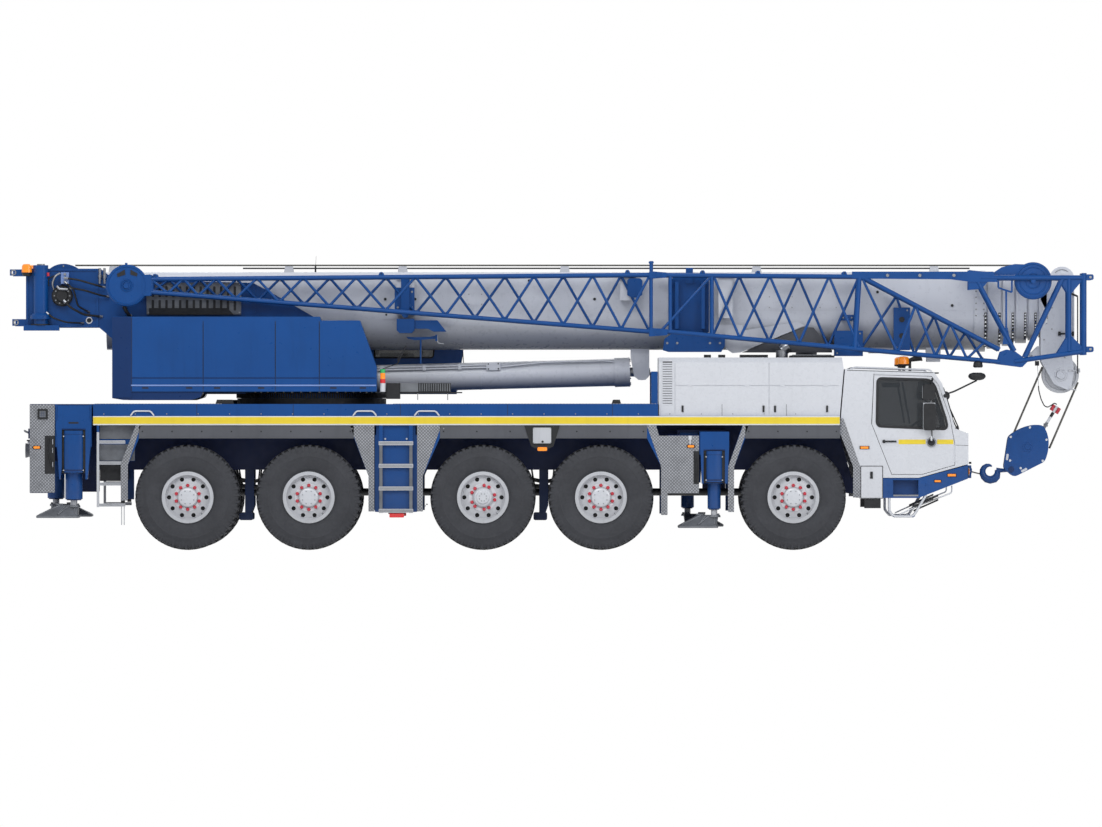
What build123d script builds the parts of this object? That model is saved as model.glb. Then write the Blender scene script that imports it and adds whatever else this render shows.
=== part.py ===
"""A five-axle all-terrain mobile crane, parked with its boom down and its lattice jib stowed.

Millimetres. +X is forward, +Y is the vehicle's left, +Z is up. The origin is on the ground, under
the middle of the vehicle. Right-hand pieces are at -Y. Outlines in side view are (x, z) points.
"""
from build123d import *
from math import atan2, cos, degrees, hypot, pi, radians, sin
import os

os.makedirs("parts", exist_ok=True)

# ---------------------------------------------------------------- driving dimensions
SEAT = 0.3            # gap between pieces that bear on each other
RUN = 6.0             # running gap between moving pieces

TYRE_R = 737          # 16.00 R25 tyre
TYRE_HALF = 215
BEAD_R = 332
BEAD_HALF = 160
FLANGE_R = 362
RIM_WALL = 18
DISC_OUT = 112        # wheel disc, from the wheel's middle plane outwards
DISC_T = 18
HAND_HOLE_PITCH_R = 262
HAND_HOLE_R = 31
HAND_HOLES = 10
HUB_CAP_R = 141
HUB_R = 125
SPINDLE_R = 70
DRUM_R = 236
DRUM_OUT = 58         # brake drum's outer face, from the wheel's middle plane outwards
DRUM_IN = 115         # and its inner face, inwards

WHEEL_Y = 1155        # wheel middle plane
KINGPIN_Y = 930
KINGPIN_R = 62
KINGPIN_HALF = 145
YOKE_T = 42

# axle number, x, steered, driven
AXLES = [
    (1, 3399, True, True),
    (2, 706, True, True),
    (3, -946, False, False),
    (4, -3384, True, True),
    (5, -5078, True, True),
]

FRAME_HALF = 545      # chassis frame half width
FRAME_BOTTOM = 1120
DECK_BOTTOM = 1876
DECK_TOP = 2044
DECK_HALF = 1340
DECK_REAR = -6400
DECK_FRONT = 4050
SKIRT_BOTTOM = 1750
SKIRT_T = 40
FENDER_BOTTOM = 1574
PLATE_T = 20

BOX_BEAM_W = 260
BOX_WALL = 30
BEAM_OFFSET = 173     # each beam's middle, from the box's middle x
BOX_HALF_Y = 1060
JACK_Y = 1195
# outrigger box: name, middle x, beams' floor z, beam height, end housing's low z, high z and half
# length, jack barrel's low z and radius, jack tube's low z and radius, foot rod's radius,
# stowed pad's low z and half length
OUTRIGGERS = [
    ("rear", -6847, 1575, 380, 1442, 2040, 253, 1064, 157, 707, 122, 48, 448, 300),
    ("front", 2118, 1345, 300, 1335, 1658, 206, 924, 133, 575, 92, 44, 308, 282),
]
PAD_SHIFT = 225       # a stowed pad hangs this far from its jack, towards the box's middle
PAD_Y = 1060
PAD_T = 70
PAD_CONE = 112

HOOD_REAR = 1518
HOOD_FRONT = 4080
HOOD_TOP = 2695
HOOD_HALF = 1290

CAB_HALF = 1290
CAB_WALL = 45
CAB_FLOOR = 1011
DOOR_GAP = 7

SLEW_X = -3367
SLEW_R = 1050
SLEW_TOP = 2205

PIVOT = (-6000, 3650)       # boom pivot
LIFT_BASE = (-3300, 2380)   # lift cylinder's foot pin
LIFT_EYE = (1290, 2500)     # lift cylinder's rod eye
LIFT_BARREL_R = 192
LIFT_GLAND_R = 206
LIFT_ROD_R = 140
LIFT_EYE_R = 118
LIFT_EYE_HALF = 70

PLATE_IN = 470        # superstructure side plates
PLATE_OUT = 530

BOOM_HALF = 430
BOOM_TOP = 3900
BOOM_BEND = 3238      # the sides are flat above this height and round below it
BOOM_REAR = -6250
BOOM_WALL = 12
BOOM_STEP = 40        # each section is this much smaller all round
GUIDE_LENGTH = 70
# telescoping section, front end of its collar, collar length
SECTIONS = [
    (1, 6335, 184),
    (2, 6523, 158),
    (3, 6699, 146),
    (4, 6845, 116),
    (5, 7000, 120),
]
BASE_FRONT = 6121
SECTION_REAR = -5600
SECTION_REAR_STEP = 130

HEAD_FRONT = 7381
SHEAVE = (7186, 2458)       # lower head sheaves' axle
SHEAVE_R = 261
TOP_SHEAVE = (7210, 3808)
TOP_SHEAVE_R = 175
SHEAVE_T = 46
SHEAVE_PITCH = 74

JIB_NEAR = -1235      # jib's outer truss plane
JIB_FAR = -665        # jib's inner truss plane
CHORD_R = 36
LACE_R = 20


# ---------------------------------------------------------------- small building helpers
def block(x, y, z, mode=Mode.ADD):
    """A box, from its (low, high) pairs."""
    centre = [(a + b) / 2 for a, b in (x, y, z)]
    with Locations(tuple(centre)):
        Box(x[1] - x[0], y[1] - y[0], z[1] - z[0], mode=mode)


def slab(outline, y, mode=Mode.ADD):
    """A plate with an (x, z) outline, between two y values."""
    with BuildSketch(Plane.XZ.offset(-y[1])) as face:
        with BuildLine():
            Polyline(*outline, close=True)
        make_face()
    extrude(face.sketch, amount=y[1] - y[0], mode=mode)


def both_slabs(outline, y, mode=Mode.ADD):
    """The same plate on the left and on the right."""
    slab(outline, y, mode)
    slab(outline, (-y[1], -y[0]), mode)


def round_bar(start, end, radius, mode=Mode.ADD):
    """A cylinder between two points."""
    run = Vector(*end) - Vector(*start)
    with BuildSketch(Plane(origin=start, z_dir=run)) as section:
        Circle(radius)
    extrude(section.sketch, amount=run.length, mode=mode)


def cross_bar(x, z, y, radius, mode=Mode.ADD):
    """A cylinder along Y."""
    round_bar((x, y[0], z), (x, y[1], z), radius, mode)


def upright(x, y, z, radius, mode=Mode.ADD):
    """A cylinder along Z."""
    round_bar((x, y, z[0]), (x, y, z[1]), radius, mode)


def save(builder, name):
    """Label a finished piece and write it."""
    builder.part.label = name
    export_step(builder.part, f"parts/{name}.step")


SIDES = [("right", -1), ("left", 1)]


def tube(start, end, radius):
    """A six-sided bar between two points, kept apart until it is added to a part."""
    run = Vector(*end) - Vector(*start)
    with BuildPart(mode=Mode.PRIVATE) as member:
        with BuildSketch(Plane(origin=start, z_dir=run)):
            RegularPolygon(radius, 6)
        extrude(amount=run.length)
    return member.part


# ---------------------------------------------------------------- wheels
# A wheel is made once, about the Y axis, with its outer side towards -Y.
TYRE_SIDE = [
    (BEAD_HALF, BEAD_R), (BEAD_HALF, FLANGE_R + 12), (TYRE_HALF - 14, 470), (TYRE_HALF, 545),
    (TYRE_HALF - 4, 610), (198, 672), (184, 714), (150, TYRE_R - 4), (110, TYRE_R),
]
with BuildPart() as tyre_form:
    with BuildSketch(Plane.YZ):
        with BuildLine():
            Polyline(*TYRE_SIDE, *[(-y, r) for y, r in TYRE_SIDE[::-1]], close=True)
        make_face()
    revolve(axis=Axis.Y)

rim_out = BEAD_R - SEAT
rim_in = rim_out - RIM_WALL
flange_in = BEAD_HALF + SEAT
flange_out = flange_in + 16
disc_dish = 22
bore_end = DISC_OUT + 20
with BuildPart() as wheel_form:
    # rim, dished disc and hub, turned from one half section, with a blind bore for the spindle
    with BuildSketch(Plane.YZ):
        with BuildLine():
            Polyline(
                (-DISC_OUT - 60, 0),
                (-DISC_OUT - 60, HUB_CAP_R - 12),
                (-DISC_OUT - 48, HUB_CAP_R),
                (-DISC_OUT - DISC_T, HUB_CAP_R),
                (-DISC_OUT - DISC_T, 205),
                (-DISC_OUT + disc_dish - DISC_T, 290),
                (-DISC_OUT + disc_dish - DISC_T, rim_in),
                (-flange_out, rim_in),
                (-flange_out, FLANGE_R),
                (-flange_in, FLANGE_R),
                (-flange_in, rim_out),
                (flange_in, rim_out),
                (flange_in, FLANGE_R),
                (flange_out, FLANGE_R),
                (flange_out, rim_in),
                (-DISC_OUT + disc_dish, rim_in),
                (-DISC_OUT + disc_dish, 296),
                (-DISC_OUT, 211),
                (-DISC_OUT, HUB_R),
                (-DRUM_OUT - RUN, HUB_R),
                (-DRUM_OUT - RUN, SPINDLE_R + SEAT),
                (-bore_end, SPINDLE_R + SEAT),
                (-bore_end, 0),
                close=True,
            )
        make_face()
    revolve(axis=Axis.Y)
    with BuildSketch(Plane.XZ.offset(DISC_OUT - disc_dish - 20)):
        with PolarLocations(HAND_HOLE_PITCH_R, HAND_HOLES):
            Circle(HAND_HOLE_R)
    extrude(amount=80, mode=Mode.SUBTRACT)

# spindle and brake drum, carried by a kingpin boss or by a fixed axle end
to_kingpin = WHEEL_Y - KINGPIN_Y
with BuildPart() as spindle_form:
    cross_bar(0, 0, (-DISC_OUT - 18, -DRUM_OUT), SPINDLE_R)
    cross_bar(0, 0, (-DRUM_OUT, DRUM_IN), DRUM_R)
    cross_bar(0, 0, (DRUM_IN, to_kingpin), 105)

with BuildPart() as knuckle_form:
    add(spindle_form.part)
    upright(0, to_kingpin, (-KINGPIN_HALF, KINGPIN_HALF), KINGPIN_R)
    block((-250, -40), (to_kingpin - 30, to_kingpin + 30), (-KINGPIN_HALF, -KINGPIN_HALF + 30))

for number, axle_x, steered, driven in AXLES:
    for side, sign in SIDES:
        turn = (0, 0, 0) if sign < 0 else (0, 0, 180)
        with BuildPart() as tyre:
            with Locations((axle_x, sign * WHEEL_Y, TYRE_R)):
                add(tyre_form.part, rotation=turn)
        save(tyre, f"tyre_{number}_{side}")

        with BuildPart() as wheel:
            with Locations((axle_x, sign * WHEEL_Y, TYRE_R)):
                add(wheel_form.part, rotation=turn)
        save(wheel, f"wheel_{number}_{side}")

        if steered:
            with BuildPart() as knuckle:
                with Locations((axle_x, sign * WHEEL_Y, TYRE_R)):
                    add(knuckle_form.part, rotation=turn)
                if sign > 0:
                    # the steering arm always points to the rear
                    arm_y = KINGPIN_Y
                    block(
                        (axle_x + KINGPIN_R, axle_x + 252),
                        (arm_y - 32, arm_y + 32),
                        (TYRE_R - KINGPIN_HALF - 2, TYRE_R - KINGPIN_HALF + 32),
                        Mode.SUBTRACT,
                    )
                    block(
                        (axle_x - 250, axle_x - 40),
                        (arm_y - 30, arm_y + 30),
                        (TYRE_R - KINGPIN_HALF, TYRE_R - KINGPIN_HALF + 30),
                    )
            save(knuckle, f"knuckle_{number}_{side}")

# ---------------------------------------------------------------- axles and driveshafts
yoke_gap = KINGPIN_HALF + SEAT
SHAFT_Z = TYRE_R + 68
with BuildPart() as axle_beams:
    for number, axle_x, steered, driven in AXLES:
        cross_bar(axle_x, TYRE_R, (-790, 790), 98)
        for side, sign in SIDES:
            y_near, y_far = sorted((sign * 790, sign * (KINGPIN_Y + 60)))
            if steered:
                web = sorted((sign * 770, sign * 835))
                reach = sorted((sign * 770, sign * (KINGPIN_Y + 60)))
                block((axle_x - 80, axle_x + 80), web,
                      (TYRE_R - yoke_gap - YOKE_T, TYRE_R + yoke_gap + YOKE_T))
                block((axle_x - 80, axle_x + 80), reach,
                      (TYRE_R + yoke_gap, TYRE_R + yoke_gap + YOKE_T))
                block((axle_x - 80, axle_x + 80), reach,
                      (TYRE_R - yoke_gap - YOKE_T, TYRE_R - yoke_gap))
            else:
                with Locations((axle_x, sign * WHEEL_Y, TYRE_R)):
                    add(spindle_form.part, rotation=(0, 0, 0) if sign < 0 else (0, 0, 180))
                cross_bar(axle_x, TYRE_R, (y_near, y_far), 105)
            # suspension cylinder up to the frame
            upright(axle_x, sign * 470, (TYRE_R + 60, FRAME_BOTTOM - SEAT), 62)
        if driven:
            round_bar((axle_x - 210, 0, TYRE_R), (axle_x + 210, 0, TYRE_R), 205)
    # shafts between the axles
    half_lengths = [210 if driven else 104 for number, axle_x, steered, driven in AXLES]
    for k in range(len(AXLES) - 1):
        shaft_front = AXLES[k][1] - half_lengths[k] - SEAT
        shaft_rear = AXLES[k + 1][1] + half_lengths[k + 1] + SEAT
        round_bar((shaft_rear, 0, SHAFT_Z), (shaft_front, 0, SHAFT_Z), 52)
save(axle_beams, "axle_beams")

# ---------------------------------------------------------------- chassis frame and outrigger boxes
# side panels: name, side, x, z, their bracket's x and z
SIDE_PANELS = [
    ("rear_right", -1, (-7283, -6940), (798, DECK_TOP), (-7230, -7180), (1300, 1900)),
    ("rear_left", 1, (-6754, -6411), (798, DECK_TOP), (-6600, -6560), (1450, 1550)),
    ("front_right", -1, (1640, 2079), (798, 1610), (1800, 1840), (1400, 1500)),
    ("front_left", 1, (2157, 2483), (798, 1610), (2400, 2440), (1400, 1500)),
]
with BuildPart() as chassis_frame:
    slab(
        [
            (-7180, FRAME_BOTTOM + 180),
            (-6500, FRAME_BOTTOM),
            (DECK_FRONT - 180, FRAME_BOTTOM),
            (DECK_FRONT + 120, 790),
            (5120, 790),
            (5120, CAB_FLOOR - SEAT),
            (DECK_FRONT + 180, CAB_FLOOR - SEAT),
            (DECK_FRONT - 60, DECK_BOTTOM - SEAT),
            (-7180, DECK_BOTTOM - SEAT),
        ],
        (-FRAME_HALF, FRAME_HALF),
    )
    for name, box_x, floor_z, beam_h, *rest in OUTRIGGERS:
        half = BEAM_OFFSET + BOX_BEAM_W / 2 + RUN + BOX_WALL
        block(
            (box_x - half, box_x + half),
            (-BOX_HALF_Y, BOX_HALF_Y),
            (floor_z - BOX_WALL, floor_z + beam_h + RUN + BOX_WALL),
        )
        for shift in (-BEAM_OFFSET, BEAM_OFFSET):
            block(
                (box_x + shift - BOX_BEAM_W / 2 - RUN, box_x + shift + BOX_BEAM_W / 2 + RUN),
                (-BOX_HALF_Y - 1, BOX_HALF_Y + 1),
                (floor_z - SEAT, floor_z + beam_h + RUN),
                Mode.SUBTRACT,
            )
    # side panels beside the jacks, on brackets
    for name, sign, panel_x, panel_z, bracket_x, bracket_z in SIDE_PANELS:
        skin = sorted((sign * (DECK_HALF - 25), sign * DECK_HALF))
        block(panel_x, skin, panel_z)
        block(bracket_x, sorted((sign * (BOX_HALF_Y - 1), sign * (DECK_HALF - 24))), bracket_z)
    # rear end plate, tow coupling and hooks
    block((-7230, -7180), (-1240, BOX_HALF_Y), (1240, DECK_TOP))
    block((-7330, -7230), (-90, 90), (1300, 1480))
    for y_hook in (-760, 760):
        block((-7330, -7230), (y_hook - 60, y_hook + 60), (1560, 1700))
save(chassis_frame, "chassis_frame")

# ---------------------------------------------------------------- outrigger beams and jacks
for (name, box_x, floor_z, beam_h, low_z, high_z, housing_half, barrel_z, barrel_r, tube_z, tube_r,
     rod_r, pad_z, pad_half) in OUTRIGGERS:
    bore_top = high_z - 40
    for side, sign in SIDES:
        # the box's middle lies this way along X from the jack on this side
        inward = sign
        jack_x = box_x - inward * BEAM_OFFSET
        with BuildPart() as outrigger_beam:
            block(
                (jack_x - BOX_BEAM_W / 2, jack_x + BOX_BEAM_W / 2),
                sorted((-sign * (BOX_HALF_Y - 20), sign * (BOX_HALF_Y + 40))),
                (floor_z, floor_z + beam_h),
            )
            block(
                (jack_x - housing_half, jack_x + housing_half),
                sorted((sign * (BOX_HALF_Y + 25), sign * (JACK_Y + 150))),
                (low_z, high_z),
            )
            upright(jack_x, sign * JACK_Y, (barrel_z, low_z + 1), barrel_r)
            upright(jack_x, sign * JACK_Y, (barrel_z - 1, bore_top), tube_r + SEAT, Mode.SUBTRACT)
        save(outrigger_beam, f"outrigger_beam_{name}_{side}")

        pad_x = jack_x + inward * PAD_SHIFT
        crown_x = jack_x + inward * 90
        pad_top = pad_z + PAD_T
        with BuildPart() as jack:
            upright(jack_x, sign * JACK_Y, (tube_z, bore_top - 20), tube_r)
            upright(jack_x, sign * JACK_Y, (pad_top, tube_z), rod_r)
            block(
                (pad_x - pad_half, pad_x + pad_half),
                sorted((sign * (PAD_Y - 290), sign * (PAD_Y + 290))),
                (pad_z, pad_top),
            )
            with BuildSketch(Plane.XY.offset(pad_top)) as pad_base:
                with Locations((pad_x, sign * PAD_Y)):
                    Rectangle(2 * pad_half - 40, 540)
            with BuildSketch(Plane.XY.offset(pad_top + PAD_CONE)) as pad_crown:
                with Locations((crown_x, sign * PAD_Y)):
                    Rectangle(300, 380)
            loft(sections=[pad_base.sketch.face(), pad_crown.sketch.face()])
        save(jack, f"jack_{name}_{side}")

# ---------------------------------------------------------------- deck, fenders, ladders and steps
panel_y = (DECK_HALF - SKIRT_T, DECK_HALF)
fender_runs = [(-5761, -2751), (-1547, 1351), (2723, DECK_FRONT)]
inner_y = DECK_HALF - SKIRT_T - SEAT
# the ladders' rails and rungs, from the middle of the vehicle
rail_in = DECK_HALF - 50
rail_out = DECK_HALF - 2
with BuildPart() as deck:
    block((DECK_REAR, HOOD_REAR - 13), (-DECK_HALF, DECK_HALF), (DECK_BOTTOM, DECK_TOP))
    block((-7180, DECK_REAR + 1), (-1050, 1050), (1996, DECK_TOP))
    for sign in (-1, 1):
        # skirt that carries the stripe, and a floor under the hood
        skirt = sorted((sign * panel_y[0], sign * panel_y[1]))
        block((DECK_REAR, DECK_FRONT), skirt, (SKIRT_BOTTOM, DECK_BOTTOM - SEAT))
        block(
            (HOOD_REAR - 12, DECK_FRONT),
            sorted((sign * (FRAME_HALF + SEAT), sign * inner_y)),
            (DECK_BOTTOM - 36, DECK_BOTTOM - SEAT),
        )
        for run in fender_runs:
            block(run, skirt, (FENDER_BOTTOM, SKIRT_BOTTOM))
            block(
                run,
                sorted((sign * (FRAME_HALF + SEAT), sign * inner_y)),
                (SKIRT_BOTTOM - 2 * PLATE_T, SKIRT_BOTTOM - PLATE_T),
            )
        # posts behind the hood
        block((1410, 1500), sorted((sign * (HOOD_HALF - 280), sign * HOOD_HALF)), (DECK_TOP + SEAT, 2499))
        # locker behind the middle ladder, and the ladder
        block(
            (-2440, -1890),
            sorted((sign * (rail_in - 140), sign * (rail_in - SEAT))),
            (532, DECK_BOTTOM - SEAT),
        )
        for rail_x in (-2373, -1953):
            block(
                (rail_x - 26, rail_x + 26),
                sorted((sign * rail_in, sign * rail_out)),
                (520, SKIRT_BOTTOM - SEAT),
            )
        for rung_z in (546, 868, 1176, 1498):
            rung_y = sign * (rail_in + 28)
            round_bar((-2373, rung_y, rung_z), (-1953, rung_y, rung_z), 15)
        # mudguard edges beside the middle ladder
        edge = sorted((sign * (DECK_HALF - 100), sign * DECK_HALF))
        edge_top = SKIRT_BOTTOM - SEAT
        edge_in = fender_runs[0][1] + SEAT
        rear_edge = [(edge_in, edge_top), (-2466, edge_top), (-2466, 540), (-2547, 540),
                     (-2547, 1036), (edge_in, 1574), (edge_in, 1650)]
        slab(rear_edge, edge)
        slab([(-1547.3, edge_top), (-1867, edge_top), (-1867, 540), (-1786, 540), (-1786, 1036),
              (-1547.3, 1574), (-1547.3, 1650)], edge)
        # mudguard edges before and behind the front outriggers
        slab([(1351.3, edge_top), (1477, edge_top), (1638, 1162), (1638, 490), (1547, 490),
              (1547, 1176), (1351.3, 1560)], edge)
        slab([(2722.7, edge_top), (2722.7, 1560), (2569, 1162), (2569, 532), (2485, 532),
              (2485, 1162), (2690, edge_top)], edge)
        # rear ladder
        slab([(-5761.3, edge_top), (-5761.3, 1560), (-5915, 1190), (-5915, 692), (-6013, 692),
              (-6013, 1204), (-5803, edge_top)], edge)
        block((-6349, -6316), sorted((sign * rail_in, sign * rail_out)), (602, SKIRT_BOTTOM - SEAT))
        for rung_z in (630, 924, 1218, 1512):
            rung_y = sign * (rail_in + 26)
            round_bar((-6330, rung_y, rung_z), (-5990, rung_y, rung_z), 15)
        block(
            (-6313, -5820),
            sorted((sign * (rail_in - 110), sign * (rail_in - 90))),
            (1246, DECK_BOTTOM - SEAT),
        )
save(deck, "deck")

# ---------------------------------------------------------------- engine hood
with BuildPart() as engine_hood:
    slab(
        [
            (HOOD_REAR, DECK_BOTTOM),
            (HOOD_REAR, HOOD_TOP),
            (4081, HOOD_TOP),
            (4105, 2534),
            (4048, DECK_BOTTOM),
        ],
        (-HOOD_HALF, HOOD_HALF),
    )
    top_edges = engine_hood.edges().filter_by(Axis.X).group_by(Axis.Z)[-1]
    chamfer(top_edges, 70)
    for sign in (-1, 1):
        skin = sorted((sign * (HOOD_HALF - 10), sign * (HOOD_HALF + 1)))
        for seam_x in (1743, 3059):
            block((seam_x - 6, seam_x + 6), skin, (DECK_BOTTOM + 30, HOOD_TOP - 80), Mode.SUBTRACT)
        block((1750, 4030), skin, (2296, 2306), Mode.SUBTRACT)
        for louvre_z in range(2090, 2600, 60):
            block(
                (1576, 1700),
                sorted((sign * (HOOD_HALF - 25), sign * (HOOD_HALF + 1))),
                (louvre_z, louvre_z + 34),
                Mode.SUBTRACT,
            )
save(engine_hood, "engine_hood")

# ---------------------------------------------------------------- driver's cab
CAB_OUTLINE = [
    (4123, 2534), (5363, 2496), (5481, 2332), (5667, 1701), (5849, 1631), (5849, 1204),
    (5152, CAB_FLOOR), (4319, CAB_FLOOR), (4319, 1190), (4066, 1841), (4066, 1876),
]
CAB_INSIDE = [
    (4172, 2486), (5340, 2450), (5440, 2312), (5632, 1664), (5804, 1600), (5804, 1240),
    (5146, CAB_FLOOR + CAB_WALL), (4364, CAB_FLOOR + CAB_WALL), (4364, 1200), (4114, 1850),
]
DOOR_OUTLINE = [
    (4529, 2450), (5330, 2428), (5425, 2312), (5585, 1862), (5655, 1490), (5655, 1192),
    (5201, 1062), (4778, 1062), (4497, 1771),
]
DOOR_WINDOW = [
    (4590, 2392), (5300, 2372), (5370, 2290), (5520, 1830), (5545, 1705), (4580, 1745),
]
with BuildPart() as driver_cab:
    slab(CAB_OUTLINE, (-CAB_HALF, CAB_HALF))
    slab(CAB_INSIDE, (-CAB_HALF + CAB_WALL, CAB_HALF - CAB_WALL), Mode.SUBTRACT)
    # windscreen
    slab([(5300, 2390), (5560, 2390), (5760, 1760), (5560, 1760)], (-1170, 1170), Mode.SUBTRACT)
    with BuildSketch(Plane.XZ.offset(-CAB_HALF - 1)) as doorway:
        with BuildLine():
            Polyline(*DOOR_OUTLINE, close=True)
        make_face()
        offset(amount=DOOR_GAP, kind=Kind.INTERSECTION)
    extrude(doorway.sketch, amount=2 * CAB_HALF + 2, mode=Mode.SUBTRACT)
    # lockers under the floor, behind the steps
    for sign in (-1, 1):
        block((4333, 4648), sorted((sign * 880, sign * CAB_HALF)), (718, CAB_FLOOR + 1))
save(driver_cab, "driver_cab")

for side, sign in SIDES:
    with BuildPart() as cab_door:
        skin = sorted((sign * (CAB_HALF - CAB_WALL), sign * CAB_HALF))
        slab(DOOR_OUTLINE, skin)
        slab(DOOR_WINDOW, (skin[0] - 1, skin[1] + 1), Mode.SUBTRACT)
        # hinge pin on the front edge, mirror arm and mirror
        upright(5655, sign * (CAB_HALF + 2), (1230, 1470), DOOR_GAP - 0.5)
        cross_bar(5330, 1560, sorted((sign * (CAB_HALF - 8), sign * 1400)), 16)
        upright(5330, sign * 1400, (1530, 2100), 12)
        block((5215, 5383), sorted((sign * 1384, sign * 1416)), (1690, 2060))
    save(cab_door, f"cab_door_{side}")

# ---------------------------------------------------------------- bumper
# boarding step hung below the bumper, as bent bars joined by rungs
STEP_PATH = [(4744, 760), (4744, 545), (4808, 470), (5082, 470), (5270, 800)]
step_bars = []
for side, sign in SIDES:
    for bar_y in (sign * 1060, sign * 1270):
        for start, end in zip(STEP_PATH, STEP_PATH[1:]):
            step_bars.append(tube((start[0], bar_y, start[1]), (end[0], bar_y, end[1]), 14))
    for bar_x in (4900, 5020):
        step_bars.append(tube((bar_x, sign * 1060, 470), (bar_x, sign * 1270, 470), 11))

with BuildPart() as front_bumper:
    slab([(4655, 728), (4655, 1004), (5152, 1004), (5842, 1188), (5842, 998), (5152, 728)],
         (-CAB_HALF, CAB_HALF))
    block((4600, 5120 + SEAT), (-FRAME_HALF - SEAT, FRAME_HALF + SEAT), (700, 1100), Mode.SUBTRACT)
    for sign in (-1, 1):
        block((4795, 5150), sorted((sign * 1130, sign * 1400)), (770, 980), Mode.SUBTRACT)
    add(step_bars)
    # tow bracket
    block((5842, 5932), (-70, 70), (1000, 1180))
    cross_bar(5895, 1090, (-80, 80), 26, Mode.SUBTRACT)
save(front_bumper, "front_bumper")

# ---------------------------------------------------------------- slew ring
FLANGE_BOTTOM = 2125
FLANGE_TOP = 2185
with BuildPart() as slew_ring:
    upright(SLEW_X, 0, (DECK_TOP, FLANGE_BOTTOM - SEAT), SLEW_R)
    upright(SLEW_X, 0, (DECK_TOP - 1, FLANGE_BOTTOM), SLEW_R - 230, Mode.SUBTRACT)
save(slew_ring, "slew_ring")

# ---------------------------------------------------------------- superstructure
DRUM = (-6853, 3710)
PIVOT_PIN_R = 80
LIFT_PIN_R = 60
LUG_IN = 96
LUG_HOLES = [(-7550, 3893), (-7515, 3191)]
LUG_HOLE_R = 25
SIDE_PLATE_FOOT = FLANGE_TOP + SEAT
SIDE_PLATE = [
    (-3000, SIDE_PLATE_FOOT), (-2600, SIDE_PLATE_FOOT + 60), (-2800, 2700), (-3339, 3276), (-3927, 3612),
    (-4179, 3746), (-4347, 3752), (-5700, 3790), (-6200, 3850), (-6349, 3948), (-7375, 3948),
    (-7375, 3122), (-6349, 3122), (-6149, 2954), (-5900, 2500), (-5900, SIDE_PLATE_FOOT),
]
with BuildPart() as superstructure:
    # slewing base with the lugs of the lift cylinder
    upright(SLEW_X, 0, (FLANGE_BOTTOM, FLANGE_TOP), SLEW_R - 50)
    block((-5900, -3600), (-PLATE_IN + SEAT, PLATE_IN - SEAT), (FLANGE_TOP, 2330))
    both_slabs(
        [(-3700, FLANGE_TOP), (-3150, FLANGE_TOP), (-3110, 2330), (-3150, 2480), (-3250, 2540),
         (-3360, 2530), (-3450, 2460), (-3620, 2420)],
        (LUG_IN, LUG_IN + 60),
    )
    cross_bar(LIFT_BASE[0], LIFT_BASE[1], (-LUG_IN - 80, LUG_IN + 80), LIFT_PIN_R)
    # side plates stand on the base; pins and tubes run between them
    both_slabs(SIDE_PLATE, (PLATE_IN, PLATE_OUT))
    both_slabs([(-7601, 3850), (-7601, 3937), (-7370, 3937), (-7370, 3850)], (PLATE_IN, PLATE_OUT))
    both_slabs([(-7567, 3144), (-7567, 3238), (-7370, 3238), (-7370, 3144)], (PLATE_IN, PLATE_OUT))
    for lug_x, lug_z in LUG_HOLES:
        cross_bar(lug_x, lug_z, (-PLATE_OUT - 1, PLATE_OUT + 1), LUG_HOLE_R, Mode.SUBTRACT)
    between = (-PLATE_IN + SEAT, PLATE_IN - SEAT)
    cross_bar(PIVOT[0], PIVOT[1], between, PIVOT_PIN_R)
    for tube_x, tube_height in ((-7240, 3260), (-6480, 3230)):
        cross_bar(tube_x, tube_height, between, 65)
    for pin_y in ((-PLATE_OUT - 25, -PLATE_OUT - SEAT), (PLATE_OUT + SEAT, PLATE_OUT + 25)):
        cross_bar(PIVOT[0], PIVOT[1], pin_y, PIVOT_PIN_R)
    # oil filter on its foot plate, outside the right-hand plate
    block((-7399, -6901), (-760, -PLATE_OUT - SEAT), (3075, 3150))
    upright(-7160, -PLATE_OUT - 110, (3150, 3994), 103)
    # grille outside the right-hand plate
    block((-5677, -4347), (-600, -PLATE_OUT - SEAT), (3304, 3752))
    with BuildSketch(Plane.XZ.offset(601)) as slots:
        with GridLocations(96, 190, 13, 2):
            with Locations((-5012, 3528)):
                Rectangle(40, 150)
    extrude(slots.sketch, amount=-31, mode=Mode.SUBTRACT)
    # platform of the crane cab
    block((-3100, -1330), (PLATE_OUT + SEAT, 1370), (FLANGE_TOP + SEAT, 2232))
save(superstructure, "superstructure")

# ---------------------------------------------------------------- side covers
with BuildPart() as side_covers:
    slab(
        [(-6134, 2135), (-6134, 3266), (-3227, 3266), (-3213, 3213), (-2667, 3213), (-2432, 2556),
         (-2432, 2218), (-5870, 2218), (-5870, 2135)],
        (-DECK_HALF, -PLATE_OUT - SEAT),
    )
    slab(
        [(-6134, 2135), (-6134, 3200), (-3150, 3200), (-3150, 2240), (-5870, 2240), (-5870, 2135)],
        (PLATE_OUT + SEAT, DECK_HALF),
    )
    for sign in (-1, 1):
        skin = sorted((sign * (DECK_HALF - 10), sign * (DECK_HALF + 1)))
        for seam_x in (-4861, -3851, -3235):
            block((seam_x - 6, seam_x + 6), skin, (2260, 3180), Mode.SUBTRACT)
    block((-6000, -2450), (-DECK_HALF - 1, -DECK_HALF + 14), (2398, 2416), Mode.SUBTRACT)
save(side_covers, "side_covers")

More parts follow.
